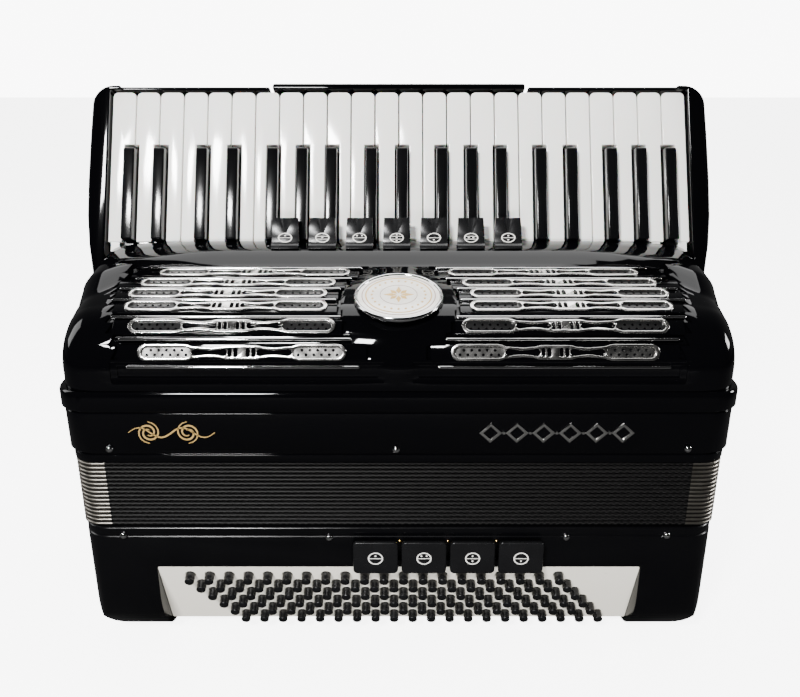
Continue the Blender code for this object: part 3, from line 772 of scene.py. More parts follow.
def grille_ribs():
    """Raised ribs on the recess floor, one under each strip and a thin one under each rod."""
    ribs = []
    for side in (-1, 1):
        for row, along in enumerate(sorted(ROD_ROWS[:-1] + STRIP_ROWS)):
            strip = along in STRIP_ROWS
            half = 0.0064 if strip else 0.0010
            top = -0.0009 if strip else -0.0014
            y, z, tilt = floor_point(along / 1000)
            inner, outer = INNER_ENDS[row] + 0.0030, OUTER_ENDS[row] - 0.0048
            outline = [(-half, -0.0030), (half, -0.0030), (half - 0.0006, top), (0.0006 - half, top)]
            turned_line = [
                (y + a * math.cos(tilt) - b * math.sin(tilt), z + a * math.sin(tilt) + b * math.cos(tilt))
                for a, b in outline
            ]
            ribs.append(prism(turned_line, *sorted((side * inner, side * outer)), axis="X"))
    piece = eased(joined(ribs), 0.0003, 2)
    fitted(piece, "grille_ribs", TREBLE, black_lacquer())


def slot_outline(centre, half_x, half_y):
    return rounded_rectangle(half_x, half_y, min(half_x, half_y) * 0.98, 5, centre)


def waisted_slot(centre):
    """A slot with round ends that narrows in the middle."""
    x = centre
    points = arc((x + 0.0098, 0), 0.0028, -80, 80, 6)
    points += [(x + 0.0050, 0.0018), (x, 0.0014), (x - 0.0050, 0.0018)]
    points += arc((x - 0.0098, 0), 0.0028, 100, 260, 6)
    return points + [(x - 0.0050, -0.0018), (x, -0.0014), (x + 0.0050, -0.0018)]


def strip_outline():
    """A pill at each end, joined by two waists and a wider middle."""
    end = arc((0.0689, 0), 0.0060, 0, 90, 6)
    upper = end + [
        (0.0420, 0.0060), (0.0385, 0.0055), (0.0360, 0.0044), (0.0320, 0.0040), (0.0230, 0.0034),
        (0.0150, 0.0040), (0.0125, 0.0048), (0.0105, 0.0052), (0.0, 0.0052),
    ]
    upper[0] = (0.0749, 0.0)
    quarter = upper[1:-1]
    left = [(-x, y) for x, y in reversed(quarter)]
    lower = [(-x, -y) for x, y in quarter]
    right = [(x, -y) for x, y in reversed(quarter)]
    return [upper[0], *quarter, upper[-1], *left, (-0.0749, 0.0), *lower, (0.0, -0.0052), *right]


def strip_plate():
    """One pierced strip, flat about its own middle, its face up."""
    plate = prism(strip_outline(), -0.0012, 0.0012)
    holes = []
    for sign in (-1, 1):
        holes.append(prism(slot_outline((sign * 0.0543, 0), 0.0178, 0.0040), -0.01, 0.01))
        holes.append(prism(waisted_slot(sign * 0.0232), -0.01, 0.01))
        holes += [prism(slot_outline((sign * x, 0), 0.0013, 0.0034), -0.01, 0.01) for x in (0.0044, 0.0086)]
    cut(plate, holes)
    return eased(plate, 0.0005, 2, 30, 60)


def screen_plate():
    """A pierced screen, two staggered rows of holes, for one end of a strip."""
    plate = prism(rounded_rectangle(0.0185, 0.0044, 0.0040, 5), -0.0002, 0.0002)
    holes = []
    for row, y in enumerate((-0.0017, 0.0017)):
        for i in range(6 - row):
            x = (i - (5 - row) / 2) * 0.0056
            holes.append(prism(circle((x, y), 0.0011, 10), -0.01, 0.01))
    cut(plate, holes)
    return eased(plate, 0, 0)


def rod_piece():
    """One polished rod with rounded ends, along X."""
    radius, half = 0.0012, 0.0840
    end = [(radius * math.sin(math.radians(a)), radius * (1 - math.cos(math.radians(a)))) for a in (8, 35, 62, 90)]
    profile = [(r, z - half) for r, z in end] + [(r, half - z) for r, z in reversed(end)]
    rod = turned(profile, 14)
    return eased(moved(rod, lambda p: Vector((p.z, p.x, p.y))), 0)


def laid_on_row(along, x, lift):
    """Takes a flat piece to its place on a row."""
    y, z, tilt = floor_point(along / 1000, lift)
    turn = Matrix.Rotation(tilt, 4, "X")
    return lambda point: Matrix.Translation((x, y, z)) @ turn @ point


def grille_trim():
    strip, screen, rod = strip_plate(), screen_plate(), rod_piece()
    metal, plate, dark = polished_nickel(), chrome(), dark_steel_and_painted_shade()
    for side, word in ((-1, "low"), (1, "high")):
        for row, along in enumerate(STRIP_ROWS):
            x = side * STRIP_CENTRES[row] / 1000
            piece = copied(strip, laid_on_row(along, x, 0.0002))
            fitted(piece, f"grille_strip_{word}_{row + 1}", TREBLE, metal)
            last = row == len(STRIP_ROWS) - 1
            ends = [
                copied(screen, lambda p, s=s: laid_on_row(along, x, -0.0006)(p + Vector((s * 0.0543, 0, 0))))
                for s in (-1, 1)
            ]
            # Painted shade: the upper rows' screens take the dark steel, and the lowest row's take the nickel
            fitted(joined(ends), f"grille_screens_{word}_{row + 1}", TREBLE, metal if last else dark)
        for row, along in enumerate(ROD_ROWS):
            x = side * ROD_CENTRES[row] / 1000
            piece = copied(rod, laid_on_row(along, x, -0.0004 if row < 6 else 0.0002))
            fitted(piece, f"grille_rod_{word}_{row + 1}", TREBLE, plate)
    for piece in (strip, screen, rod):
        removed(piece)


def badge_place(point):
    """From the badge's own flat frame to its place on the slope."""
    turn = Matrix.Rotation(BADGE_TILT, 4, "X")
    return Matrix.Translation((0, BADGE_Y, grille_height(BADGE_Y))) @ turn @ point


def badge():
    boss = turned([(0.0245, -0.0150), (0.0255, -0.0060), (0.0290, -0.0008), (0.0300, 0.0004)], 72)
    fitted(eased(moved(boss, badge_place), 0, smooth=60), "badge_boss", TREBLE, black_lacquer())
    rim = [(0.0326, -0.0004), (0.0334, 0.0004), (0.0334, 0.0020), (0.0329, 0.0031), (0.0319, 0.0036),
           (0.0311, 0.0034), (0.0305, 0.0028), (0.0304, 0.0022)]
    bezel = turned(rim, 72)
    fitted(eased(moved(bezel, badge_place), 0, smooth=50), "badge_bezel", TREBLE, chrome(),
           ["grille_badge"])
    disc = turned([(0.0299, 0.0021), (0.0305, 0.0024), (0.0305, 0.0026), (0.0250, 0.0031), (0.0120, 0.0034)], 64)
    fitted(eased(moved(disc, badge_place), 0, smooth=60), "badge_enamel", TREBLE, white_enamel())

    def ring(inner, outer, low, high):
        band = prism(circle((0, 0), outer, 64), low, high)
        return cut(band, prism(circle((0, 0), inner, 64), low - 0.01, high + 0.01))

    rings = joined([ring(0.0270, 0.0275, 0.0024, 0.00300), ring(0.0136, 0.0139, 0.0024, 0.0035)])
    fitted(moved(rings, badge_place), "badge_umber_rings", TREBLE, umber_paint())
    petals = []
    for i in range(8):
        angle = math.tau * i / 8
        long = 0.0112 if i % 2 == 0 else 0.0088
        outline = [(0.0018, 0), (0.0055, 0.0019), (long, 0), (0.0055, -0.0019)]
        spun = [
            (a * math.cos(angle) - b * math.sin(angle), a * math.sin(angle) + b * math.cos(angle))
            for a, b in outline
        ]
        petals.append(prism(spun, 0.0024, 0.00365))
    for i in range(24):
        angle = math.tau * i / 24
        petals.append(prism(circle((0.0200 * math.cos(angle), 0.0200 * math.sin(angle)), 0.0009, 8), 0.0024, 0.0035))
    petals.append(ring(0.0240, 0.0249, 0.0024, 0.00328))
    fitted(moved(joined(petals), badge_place), "badge_gold_star", TREBLE, gold_leaf_paint())


def scroll_ornament():
    """Plain metal scrollwork on the lower panel: gold at the left, chrome at the right."""
    def curl(x, z, size, turn, flip):
        points = []
        for i in range(17):
            angle = turn + flip * i * math.radians(24)
            radius = size * (1 - i / 21)
            points.append((x + radius * math.cos(angle), z + radius * math.sin(angle)))
        return points

    def ribbon(line, half):
        """A narrow flat band along a line, thinner towards its ends."""
        left, right = [], []
        for i, (x, z) in enumerate(line):
            ahead = line[min(i + 1, len(line) - 1)]
            behind = line[max(i - 1, 0)]
            along = Vector((ahead[0] - behind[0], ahead[1] - behind[1])).normalized()
            width = half * (0.35 + 0.65 * math.sin(math.pi * (i + 0.5) / len(line)))
            left.append((x - along.y * width, z + along.x * width))
            right.append((x + along.y * width, z - along.x * width))
        return left + right[::-1]

    y = -FRONT
    height = 0.1935
    gold = []
    for flip, centre in ((1, -0.1850), (-1, -0.1560)):
        gold.append(prism(ribbon(curl(centre, height, 0.0088, math.pi / 2, -flip), 0.0007), y - 0.0003, y + 0.001, "Y"))
        gold.append(prism(ribbon(curl(centre, height, 0.0088, -math.pi / 2, -flip), 0.0007), y - 0.0003, y + 0.001, "Y"))
    wave = [(-0.2000 + 0.0640 * i / 24, height + 0.0040 * math.sin(i * math.pi / 6)) for i in range(25)]
    gold.append(prism(ribbon(wave, 0.0006), y - 0.0003, y + 0.001, "Y"))
    fitted(joined(gold), "gold_scroll", TREBLE, gold_leaf_paint())
    links = []
    for i in range(6):
        x = 0.0680 + 0.0196 * i
        diamond = [(x - 0.0086, height), (x, height + 0.0082), (x + 0.0086, height), (x, height - 0.0082)]
        inner = [(x + (a - x) * 0.62, height + (b - height) * 0.62) for a, b in diamond]
        plate = prism(diamond, y - 0.0012, y + 0.001, "Y")
        links.append(cut(plate, prism(inner, y - 0.01, y + 0.01, "Y")))
        if i < 5:
            links.append(prism(circle((x + 0.0098, height), 0.0013, 12), y - 0.0014, y + 0.001, "Y"))
    fitted(eased(joined(links), 0.0005, 2), "chrome_links", TREBLE, polished_nickel())


# ---------------------------------------------------------------- treble tabs

def sign_of(kind, radius):
    """A ring with a bar and dots in it, as flat outlines (x, y) with their thickness: the plain sign of a register."""
    shapes = []
    band = prism(circle((0, 0), radius, 32), 0, 1)
    shapes.append(cut(band, prism(circle((0, 0), radius * 0.84, 32), -1, 2)))
    bars = {0: (0.0,), 1: (-0.30, 0.30), 2: (0.0,), 3: (-0.30, 0.30), 4: (0.0,), 5: (-0.30, 0.30), 6: (0.0,)}[kind]
    dots = {
        0: ((0, 0.42),), 1: ((0, 0.0),), 2: ((-0.35, 0.42), (0.35, 0.42)), 3: ((0, 0.62), (0, 0), (0, -0.62)),
        4: ((0, -0.42),), 5: ((-0.32, 0), (0.32, 0)), 6: ((0, 0.42), (0, -0.42)),
    }[kind]
    for level in bars:
        half = math.sqrt(0.86**2 - level**2)
        shapes.append(
            prism([(x * radius, (level + y) * radius) for x, y in ((-half, -0.05), (half, -0.05), (half, 0.05), (-half, 0.05))], 0, 1)
        )
    for x, y in dots:
        shapes.append(prism(circle((x * radius, y * radius), radius * 0.13, 10), 0, 1))
    return joined(shapes)


def treble_tabs():
    """Seven scooped tabs on one shaft, with white signs filled into them."""
    face = [(0.0036, 0.3066), (0.0050, 0.3082), (0.0062, 0.3093), (0.0088, 0.3099), (0.0100, 0.3118), (0.0109, 0.3155),
            (0.0123, 0.3200), (0.0148, 0.3248), (0.0182, 0.3288), (0.0212, 0.3280), (0.0165, 0.3083), (0.0100, 0.3073)]
    tabs, signs = [], []
    half = 0.0111
    scoop = moved(turned([(0.0002, 0.0), (0.0088, 0.0165)], 32), lambda p: Matrix.Translation((0, 0.0110, 0.3160))
                  @ Matrix.Rotation(math.radians(-10), 4, "X") @ p)
    master = cut(prism(face, -half, half, axis="X"), scoop)
    eased(moved(master, lambda p: Vector((p.x * (1 - 4.5 * max(p.z - 0.3120, 0)), p.y, p.z))), 0.0007, 3, 32, 50)
    for number, x in enumerate(TREBLE_TAB_XS):
        tabs.append(copied(master, shifted(x)))
        tabs.append(prism([(0.0105, 0.2938), (0.0136, 0.2938), (0.0152, 0.3092), (0.0125, 0.3092)],
                          x - 0.0035, x + 0.0035, axis="X"))
        sign = sign_of(number, 0.0048)
        lean = math.atan2(0.3155 - 0.3118, 0.0109 - 0.0100)
        signs.append(moved(sign, lambda p, x=x: Vector((
            x + p.x * 1.2,
            0.01045 + p.y * 0.80 * math.cos(lean) + (0.0010 - p.z * 0.0016) * math.sin(lean),
            0.3140 + p.y * 0.80 * math.sin(lean) - (0.0010 - p.z * 0.0016) * math.cos(lean),
        ))))
    shaft = moved(turned([(0.0018, TREBLE_TAB_XS[0] - 0.010), (0.0018, TREBLE_TAB_XS[-1] + 0.010)], 16),
                  lambda p: Vector((p.z, p.x + 0.012, p.y + 0.2942)))
    fitted(eased(joined(tabs + [shaft]), 0), "treble_tab_bodies", "treble_registers", moulded_black(),
           ["treble_registers"])
    fitted(joined(signs), "treble_tab_signs", "treble_registers", white_paint())
    removed(master)


# ---------------------------------------------------------------- keyboard

def black_key_xs():
    """Joint number and centre of each black key, from the left end."""
    found = {}
    for joint, offsets in BLACK_GROUPS:
        for i, offset in enumerate(offsets):
            found[joint + i] = (joint + i - WHITE_KEYS / 2) * KEY_PITCH + offset
    return found


def white_keys():
    blacks = black_key_xs()
    clear = 0.0056 + 0.0006
    notch_end = BLACK_LENGTH + 0.0008
    celluloid = white_celluloid()
    for i in range(WHITE_KEYS):
        left = (i - WHITE_KEYS / 2) * KEY_PITCH + 0.0005
        right = left + KEY_PITCH - 0.0010
        stem_left = blacks[i] + clear if i in blacks else left
        stem_right = blacks[i + 1] - clear if i + 1 in blacks else right
        tail = max(-0.2375, min(0.2375, (stem_left + stem_right) / 2))
        outline = [(stem_left, -0.0015), (stem_right, -0.0015)]
        if stem_right < right - 1e-6:
            outline += [(stem_right, notch_end), (right, notch_end)]
        corner = 0.0040
        outline += arc((right - corner, KEY_LENGTH - corner), corner, 0, 90, 6)
        outline += arc((left + corner, KEY_LENGTH - corner), corner, 90, 180, 6)
        if stem_left > left + 1e-6:
            outline += [(left, notch_end), (stem_left, notch_end)]
        key = eased(prism(outline, -KEY_THICK, 0), 0.0007, 3, 40)
        lever = box((tail - 0.0035, tail + 0.0035), (-0.078, 0.010), (-KEY_THICK + 0.0006, -0.0012))
        piece = moved(joined([key, lever]), on_keyboard)
        name = f"white_key_{i + 1:02d}"
        fitted(eased(piece, 0), f"{name}_cap", name, celluloid, [name])


def black_keys():
    """A rounded bar with a sloping front, on a body between the white keys."""
    half, top_half, height, length = 0.0056, 0.0046, 0.0085, BLACK_LENGTH
    raised = box((0, 1), (0, 1), (0, 1))
    for vertex in raised.data.vertices:
        top = vertex.co.z > 0.5
        front = vertex.co.y > 0.5
        width = top_half if top else half
        vertex.co = (
            width if vertex.co.x > 0.5 else -width,
            (length - (0.0045 if top else 0)) if front else -0.0010,
            height if top else -KEY_THICK,
        )
    eased(outward(raised), 0.0013, 4, 25, 45)
    lever = box((-0.0035, 0.0035), (-0.078, 0.010), (-KEY_THICK + 0.0006, -0.0012))
    master = joined([raised, lever])
    phenolic = black_key_plastic()
    for number, (_, x) in enumerate(sorted(black_key_xs().items())):
        piece = copied(master, lambda p: on_keyboard(p + Vector((x, 0, 0))))
        name = f"black_key_{number + 1:02d}"
        fitted(piece, f"{name}_bar", name, phenolic, [name])
    removed(master)


def fingerboard():
    corner = 0.017
    side = [(0.2532, -0.030), (0.2575, -0.005), (0.2597, 0.020), (0.2602, 0.050), (0.2597, 0.090)]
    side += arc((0.2590 - corner, RAIL_END - corner), corner, 0, 90, 12)
    tray = prism(side + [(-x, s) for x, s in reversed(side)], BOARD_BACK, 0.0045)
    cut(tray, box((-WELL_HALF, WELL_HALF), (-0.05, RAIL_START), (WELL_FLOOR, 0.02)))
    cut(tray, box((-0.236, 0.236), (0.10, 0.15), (0.001, 0.02)))
    palm = PALM_HALF + 0.002
    cut(tray, box((-palm, palm), (0.10, 0.15), (-0.0130, 0.02)))
    eased(tray, 0.0016, 4, 40, 40)
    fitted(moved(tray, on_keyboard), "fingerboard_frame", TREBLE, black_lacquer(), ["fingerboard"])
    felt_strip = box((-WELL_HALF + 0.001, WELL_HALF - 0.001), (0.102, 0.118), (WELL_FLOOR, WELL_FLOOR + 0.0030))
    fitted(moved(eased(felt_strip, 0.0005), on_keyboard), "key_landing_felt", TREBLE, felt())
    bar = box((-PALM_HALF, PALM_HALF), (0.1315, 0.1370), (-0.0125, -0.0010))
    eased(bar, 0.0018, 4, 40, 45)
    fitted(moved(bar, on_keyboard), "palm_switch_bar", "palm_switch", black_lacquer(), ["palm_switch"])


# ---------------------------------------------------------------- treble casing

def stacked(levels, corner, steps=10):
    """A tube of rounded rectangles (half x, half y, height), closed at both ends."""
    outlines = [rounded_rectangle(a, b, corner, steps) for a, b, _ in levels]
    count = len(outlines[0])

    def place(i, j):
        x, y = outlines[j][i % count]
        return (x, y, levels[j][2])

    tube = surface(count + 1, len(levels), place)
    return closed_tube(tube)


def treble_casing():
    body = stacked(
        [
            (0.2490, 0.1013, 0.1677), (0.2494, 0.1017, 0.1682), (0.2494, 0.1017, 0.1742), (0.2484, 0.1007, 0.1749),
            (0.2484, 0.1007, 0.1757), (0.2508, 0.1021, 0.1763), (0.2514, 0.1025, 0.1770), (0.2515, 0.1025, 0.2085),
            (0.2508, 0.1018, 0.2092), (0.2508, 0.1018, 0.2100), (0.2522, 0.1037, 0.2106), (0.2530, 0.1045, 0.2118),
            (0.2530, 0.1045, 0.2236), (0.2526, 0.1040, 0.2250), (0.2518, 0.1030, 0.2262),
        ],
        PLAN_CORNER,
    )
    under = BOARD_BACK - 0.0005
    shoulder = [(0.0300, 0.2150), (0.0300, 0.2727), keyboard_point(-0.0305, under), keyboard_point(0.0300, under),
                (0.0870, 0.3137), (0.0930, 0.3110), (0.0980, 0.3045), (0.1010, 0.2970), (FRONT, 0.2880), (FRONT, 0.2150)]
    rise = prism(shoulder, -0.2515, 0.2515, axis="X")
    plan = prism(rounded_rectangle(0.2515, FRONT, PLAN_CORNER), 0.20, 0.34)
    modify(rise, "BOOLEAN", operation="INTERSECT", object=plan, solver="EXACT")
    removed(plan)
    cut(body, rise, "UNION")
    cut(body, prism(rounded_rectangle(0.2455, 0.0965, 0.016, 6), 0.1, 0.2400))
    hollow = [(0.0250, 0.2300), (0.0250, 0.3400), (0.0660, 0.3400), (0.0670, 0.3100), (0.0860, 0.3070),
              (0.0940, 0.2990), (0.0965, 0.2880), (0.0965, 0.2300)]
    cut(body, prism(hollow, -0.2455, 0.2455, axis="X"))
    eased(body, 0.0004, 2, 40, 35)
    fitted(body, "treble_case", TREBLE, black_lacquer(), ["treble_casing"])


def domed_heads():
    """Bellows pins, strap studs and grille screws: domed chrome heads set into the casings."""
    dome = [(0.0030, -0.0006), (0.0030, 0.0004), (0.0026, 0.0014), (0.0016, 0.0022), (0.0004, 0.0025)]
    head = eased(turned(dome, 20), 0, smooth=60)
    places = {
        TREBLE: [(-0.2155, 0.1800), (-0.0018, 0.1795), (0.2155, 0.1800)],
        BASS: [(-0.2135, 0.1050), (-0.0540, 0.1030), (0.1300, 0.1035), (0.2080, 0.1050)],
    }
    for body, spots in places.items():
        front = [copied(head, lambda p, x=x, z=z: Vector((x + p.x, -FRONT - p.z, z + p.y))) for x, z in spots]
        back = [copied(head, lambda p, x=x, z=z: Vector((x + p.x, FRONT + p.z, z + p.y))) for x, z in spots]
        piece = outward(joined(front + back))
        fitted(eased(piece, 0, smooth=60), f"bellows_pins_{body}", body, chrome())
    stud = turned([(0.0050, -0.0010), (0.0050, 0.0010), (0.0025, 0.0014), (0.0025, 0.0035), (0.0042, 0.0040),
                   (0.0042, 0.0052), (0.0030, 0.0060)], 20)
    studs = [
        copied(stud, lambda p, s=s, y=y: Vector((s * (0.2527 + p.z), y + p.x, 0.2180 + p.y)))
        for s in (-1, 1) for y in (-0.0450, 0.0600)
    ]
    fitted(eased(outward(joined(studs)), 0, smooth=50), "strap_studs", TREBLE, chrome())
    screws = []
    for side in (-1, 1):
        screw = copied(head, laid_on_row(2.0, side * 0.2095, -0.0026))
        screws.append(copied(screw, lambda p: p))
        removed(screw)
    fitted(eased(outward(joined(screws)), 0, smooth=60), "grille_screws", TREBLE, dark_steel_and_painted_shade())
    removed(head)
    removed(stud)


# ---------------------------------------------------------------- bellows

def path_round(half_x, half_y, corner, steps=8):
    """Rounded rectangle as a closed path with the distance along it."""
    points = rounded_rectangle(half_x, half_y, corner, steps)
    points.append(points[0])
    distance = [0.0]
    for a, b in zip(points, points[1:]):
        distance.append(distance[-1] + math.dist(a, b))
    return points, distance


def blended(piece, count):
    """Bakes one fold's placement into its mesh."""
    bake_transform(piece)


def bellows(count):
    height = (BELLOWS_TOP - BELLOWS_BOTTOM) / count
    corner = 0.016
    edge = [(FOLD_DEPTH, 0.02), (0.0012, 0.14), (0.0003, 0.30), (0.0, 0.5), (0.0003, 0.70), (0.0012, 0.86), (FOLD_DEPTH, 0.98)]
    lines = [path_round(BELLOWS_HALF[0] - 0.0004 - d, BELLOWS_HALF[1] - 0.0004 - d, max(corner - d, 0.004)) for d, _ in edge]
    middle = lines[3][1]

    def place(i, j):
        x, y = lines[j][0][i]
        return (x, y, BELLOWS_BOTTOM + edge[j][1] * height)

    across = [0.0]
    for (d0, z0), (d1, z1) in zip(edge, edge[1:]):
        across.append(across[-1] + math.hypot(d1 - d0, (z1 - z0) * height))
    centre = across[-1] / 2
    fold = surface(len(middle), len(edge), place, lambda i, j: (middle[i], across[j] - centre))
    modify(fold, "SOLIDIFY", thickness=0.0005, offset=-1.0)
    eased(fold, 0, smooth=60)

    legs = 0.0095
    cap_edge = [(0.0070, 0.06), (0.0010, 0.16), (0.0002, 0.32), (0.0, 0.5), (0.0002, 0.68), (0.0010, 0.84), (0.0070, 0.94)]
    caps = []
    for turn, (sx, sy) in enumerate(((1, 1), (-1, 1), (-1, -1), (1, -1))):
        def cap_place(i, j, turn=turn, sx=sx, sy=sy):
            d, z = cap_edge[j]
            radius = max(corner - d, 0.004)
            half_x, half_y = BELLOWS_HALF[0] - d, BELLOWS_HALF[1] - d
            middle_of = (sx * (half_x - radius), sy * (half_y - radius))
            bend = arc(middle_of, radius, 90 * turn, 90 * turn + 90, 8)
            first, last = bend[0], bend[-1]
            angle = math.radians(90 * turn)
            inward = legs - d * 0.4
            before = (first[0] + inward * math.sin(angle), first[1] - inward * math.cos(angle))
            after = (last[0] - inward * math.cos(angle), last[1] - inward * math.sin(angle))
            x, y = [before, *bend, after][i]
            return (x, y, BELLOWS_BOTTOM + z * height)
        cap = surface(11, len(cap_edge), cap_place)
        caps.append(modify(cap, "SOLIDIFY", thickness=0.0003, offset=-1.0))
    cap = eased(joined(caps), 0, smooth=60)

    cloth, metal = bellows_cloth(), brushed_steel()
    for number in range(count):
        for master, word, material, slot in (
            (fold, "bellows_fold", cloth, "bellows_cloth"), (cap, "fold_corners", metal, "chrome_plate")
        ):
            piece = copied(master, shifted(z=number * height))
            piece.name = f"{word}_{number + 1:02d}"
            piece.data.name = piece.name
            for vertex in piece.data.vertices:
                vertex.co.y += MIDDLE_Y
            if master is fold and number % 2:
                # The embossing of neighbouring folds is staggered by half a lozenge
                for corner_uv in piece.data.uv_layers.active.data:
                    corner_uv.uv.x += LOZENGE / 2
            piece.data.materials.clear()
            piece.data.materials.append(material)
            blended(piece, count)
    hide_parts("bellows")
    removed(fold)
    removed(cap)


# ---------------------------------------------------------------- bass side

def bass_casing():
    body = stacked(
        [
            (BASS_HALF, FRONT, 0.0), (BASS_HALF, FRONT, 0.1035), (BASS_HALF - 0.0006, FRONT - 0.0006, 0.1040),
            (BASS_HALF - 0.0006, FRONT - 0.0006, 0.1047), (BASS_HALF - 0.0002, FRONT - 0.0002, 0.1052),
            (BASS_HALF - 0.0002, FRONT - 0.0002, 0.1110), (BASS_HALF - 0.0010, FRONT - 0.0010, BASS_TOP),
        ],
        PLAN_CORNER,
        12,
    )
    foot = BASS_HALF - 0.0015 - FOOT_CORNER
    front_view = [(-BASS_HALF - 0.01, 0.15), (-BASS_HALF, 0.1035), *arc((-foot, FOOT_CORNER), FOOT_CORNER, 180, 270, 16)]
    front_view += [*arc((foot, FOOT_CORNER), FOOT_CORNER, 270, 360, 16), (BASS_HALF, 0.1035), (BASS_HALF + 0.01, 0.15)]
    under = [(FRONT - FOOT_FRONT[0] * (1 - a), FOOT_FRONT[1] * (1 + b)) for a, b in arc((0, 0), 1, 0, -90, 14)[1:]]
    side_view = [(-FRONT - 0.01, 0.15), (-FRONT - 0.0001, FOOT_FRONT[1]), *((-y, z) for y, z in under)]
    side_view += [*reversed(under), (FRONT + 0.0001, FOOT_FRONT[1]), (FRONT + 0.01, 0.15)]
    cut(body, prism(front_view, -0.2, 0.2, axis="Y"), "INTERSECT")
    cut(body, prism(side_view, -0.3, 0.3, axis="X"), "INTERSECT")
    back = BOARD_THICK + 0.0003
    top = BOARD_TOP + 0.0003
    recess = [(-0.13, top), (board_y(top, back), top), (board_y(UNDERSIDE, back), UNDERSIDE), (-0.055, UNDERSIDE),
              (-0.055, CHANNEL_ROOF), (0.13, CHANNEL_ROOF), (0.13, -0.01), (-0.13, -0.01)]
    half = BOARD_HALF + 0.0003
    cut(body, prism(recess, -half, half, axis="X"))
    wall, web = 0.005, 0.0063
    floor, bend = CHANNEL_ROOF + wall, BOARD_TOP + 0.005
    hollow = [(wall - FRONT, 0.15), (wall - FRONT, bend), (board_y(floor, web), floor), (FRONT - wall, floor), (FRONT - wall, 0.15)]
    cut(body, prism(hollow, -0.236, 0.236, axis="X"))
    trough = [(board_y(0.06, web), 0.06), (board_y(0.012, web), 0.012), (-0.060, 0.012), (-0.060, 0.06)]
    cut(body, prism(trough, -0.185, 0.185, axis="X"))
    window = [board_point(0.004, 0.003), board_point(0.069, 0.003), board_point(0.069, 0.0125), board_point(0.004, 0.0125)]
    cut(body, prism(window, -0.178, 0.178, axis="X"))
    cut(body, box((-0.0315, 0.1085), (-0.12, -0.09), (0.0820, 0.0960)))
    cut(body, box((-0.150, 0.150), (-0.030, 0.065), (0.01, 0.04)))
    cut(body, prism(circle(AIR_BUTTON, 0.0066), 0.22, 0.26, "X"))
    cut(body, prism(circle(STRAP_WHEEL, 0.0125, 32), 0.2410, 0.26, "X"))
    cut(body, prism(circle(STRAP_WHEEL, 0.0026, 12), 0.22, 0.25, "X"))
    eased(body, 0.0006, 2, 40, 35)
    fitted(body, "bass_case", BASS, satin_lacquer(), ["bass_casing"])
    pads = []
    for x in (-0.1975, 0.1975):
        for y in (-0.045, 0.045):
            pad = turned([(0.0055, 0.0), (0.0060, 0.0004), (0.0060, 0.0010), (0.0056, 0.0012)], 24)
            pads.append(moved(pad, shifted(x, y, 0.0)))
    fitted(eased(joined(pads), 0), "foot_pads", BASS, rubber())


def on_board(point):
    """From (x, along the board, out of it) to the casings' frame."""
    return Vector((point.x, *board_point(point.y, -point.z)))


def button_places(rows):
    return [
        (FIRST_BUTTON_X + ROW_SHIFT * row + BUTTON_PITCH * i, FIRST_ROW + ROW_SPACING * row)
        for row in rows
        for i in range(COLUMNS)
    ]


def button_board():
    outline = rounded_rectangle(BOARD_HALF, BOARD_LENGTH / 2, 0.0015, 3, (0, BOARD_LENGTH / 2))
    board = prism(outline, -BOARD_THICK, 0.0)
    cut(board, [prism(circle(place, 0.0043, 14), -0.02, 0.01) for place in button_places(range(ROWS))])
    eased(board, 0.0003, 1, 50, 35)
    moved(board, on_board)
    cut(board, box((-0.3, 0.3), (-0.3, 0.3), (BOARD_TOP, 0.3)))
    fitted(board, "button_plate", BASS, ivory_plastic(), ["bass_button_board"])


def bass_buttons():
    """Turned buttons: a narrow flange, a waisted stem and a domed tip."""
    profile = [
        (0.0030, -0.0052), (0.0030, 0.0002), (0.0038, 0.0004), (0.0038, 0.0046), (0.0036, 0.0052), (0.0037, 0.0060),
        (0.0038, 0.0072), (0.0034, 0.0078), (0.0020, 0.0081), (0.0004, 0.0080),
    ]
    button = eased(turned(profile, 14), 0, smooth=55)
    for name, rows in (("bass_note_buttons", (0, 1)), ("bass_chord_buttons", (2, 3, 4, 5))):
        bank = [
            copied(button, lambda p, x=x, s=s: on_board(Vector((x + p.x, s + p.y, p.z))))
            for x, s in button_places(rows)
        ]
        length = BUTTON_PITCH * (COLUMNS - 1)
        low, high = FIRST_BUTTON_X + ROW_SHIFT * rows[0] - 0.005, FIRST_BUTTON_X + ROW_SHIFT * rows[-1] + length + 0.005
        bar = box((low, high), (FIRST_ROW + ROW_SPACING * rows[0] - 0.0043, FIRST_ROW + ROW_SPACING * rows[-1] + 0.0043),
                  (-BOARD_THICK - 0.0026, -BOARD_THICK - 0.0006))
        piece = outward(joined(bank + [moved(bar, on_board)]))
        fitted(eased(piece, 0, smooth=50), f"{name}_bank", name, moulded_black(), [name])
    removed(button)


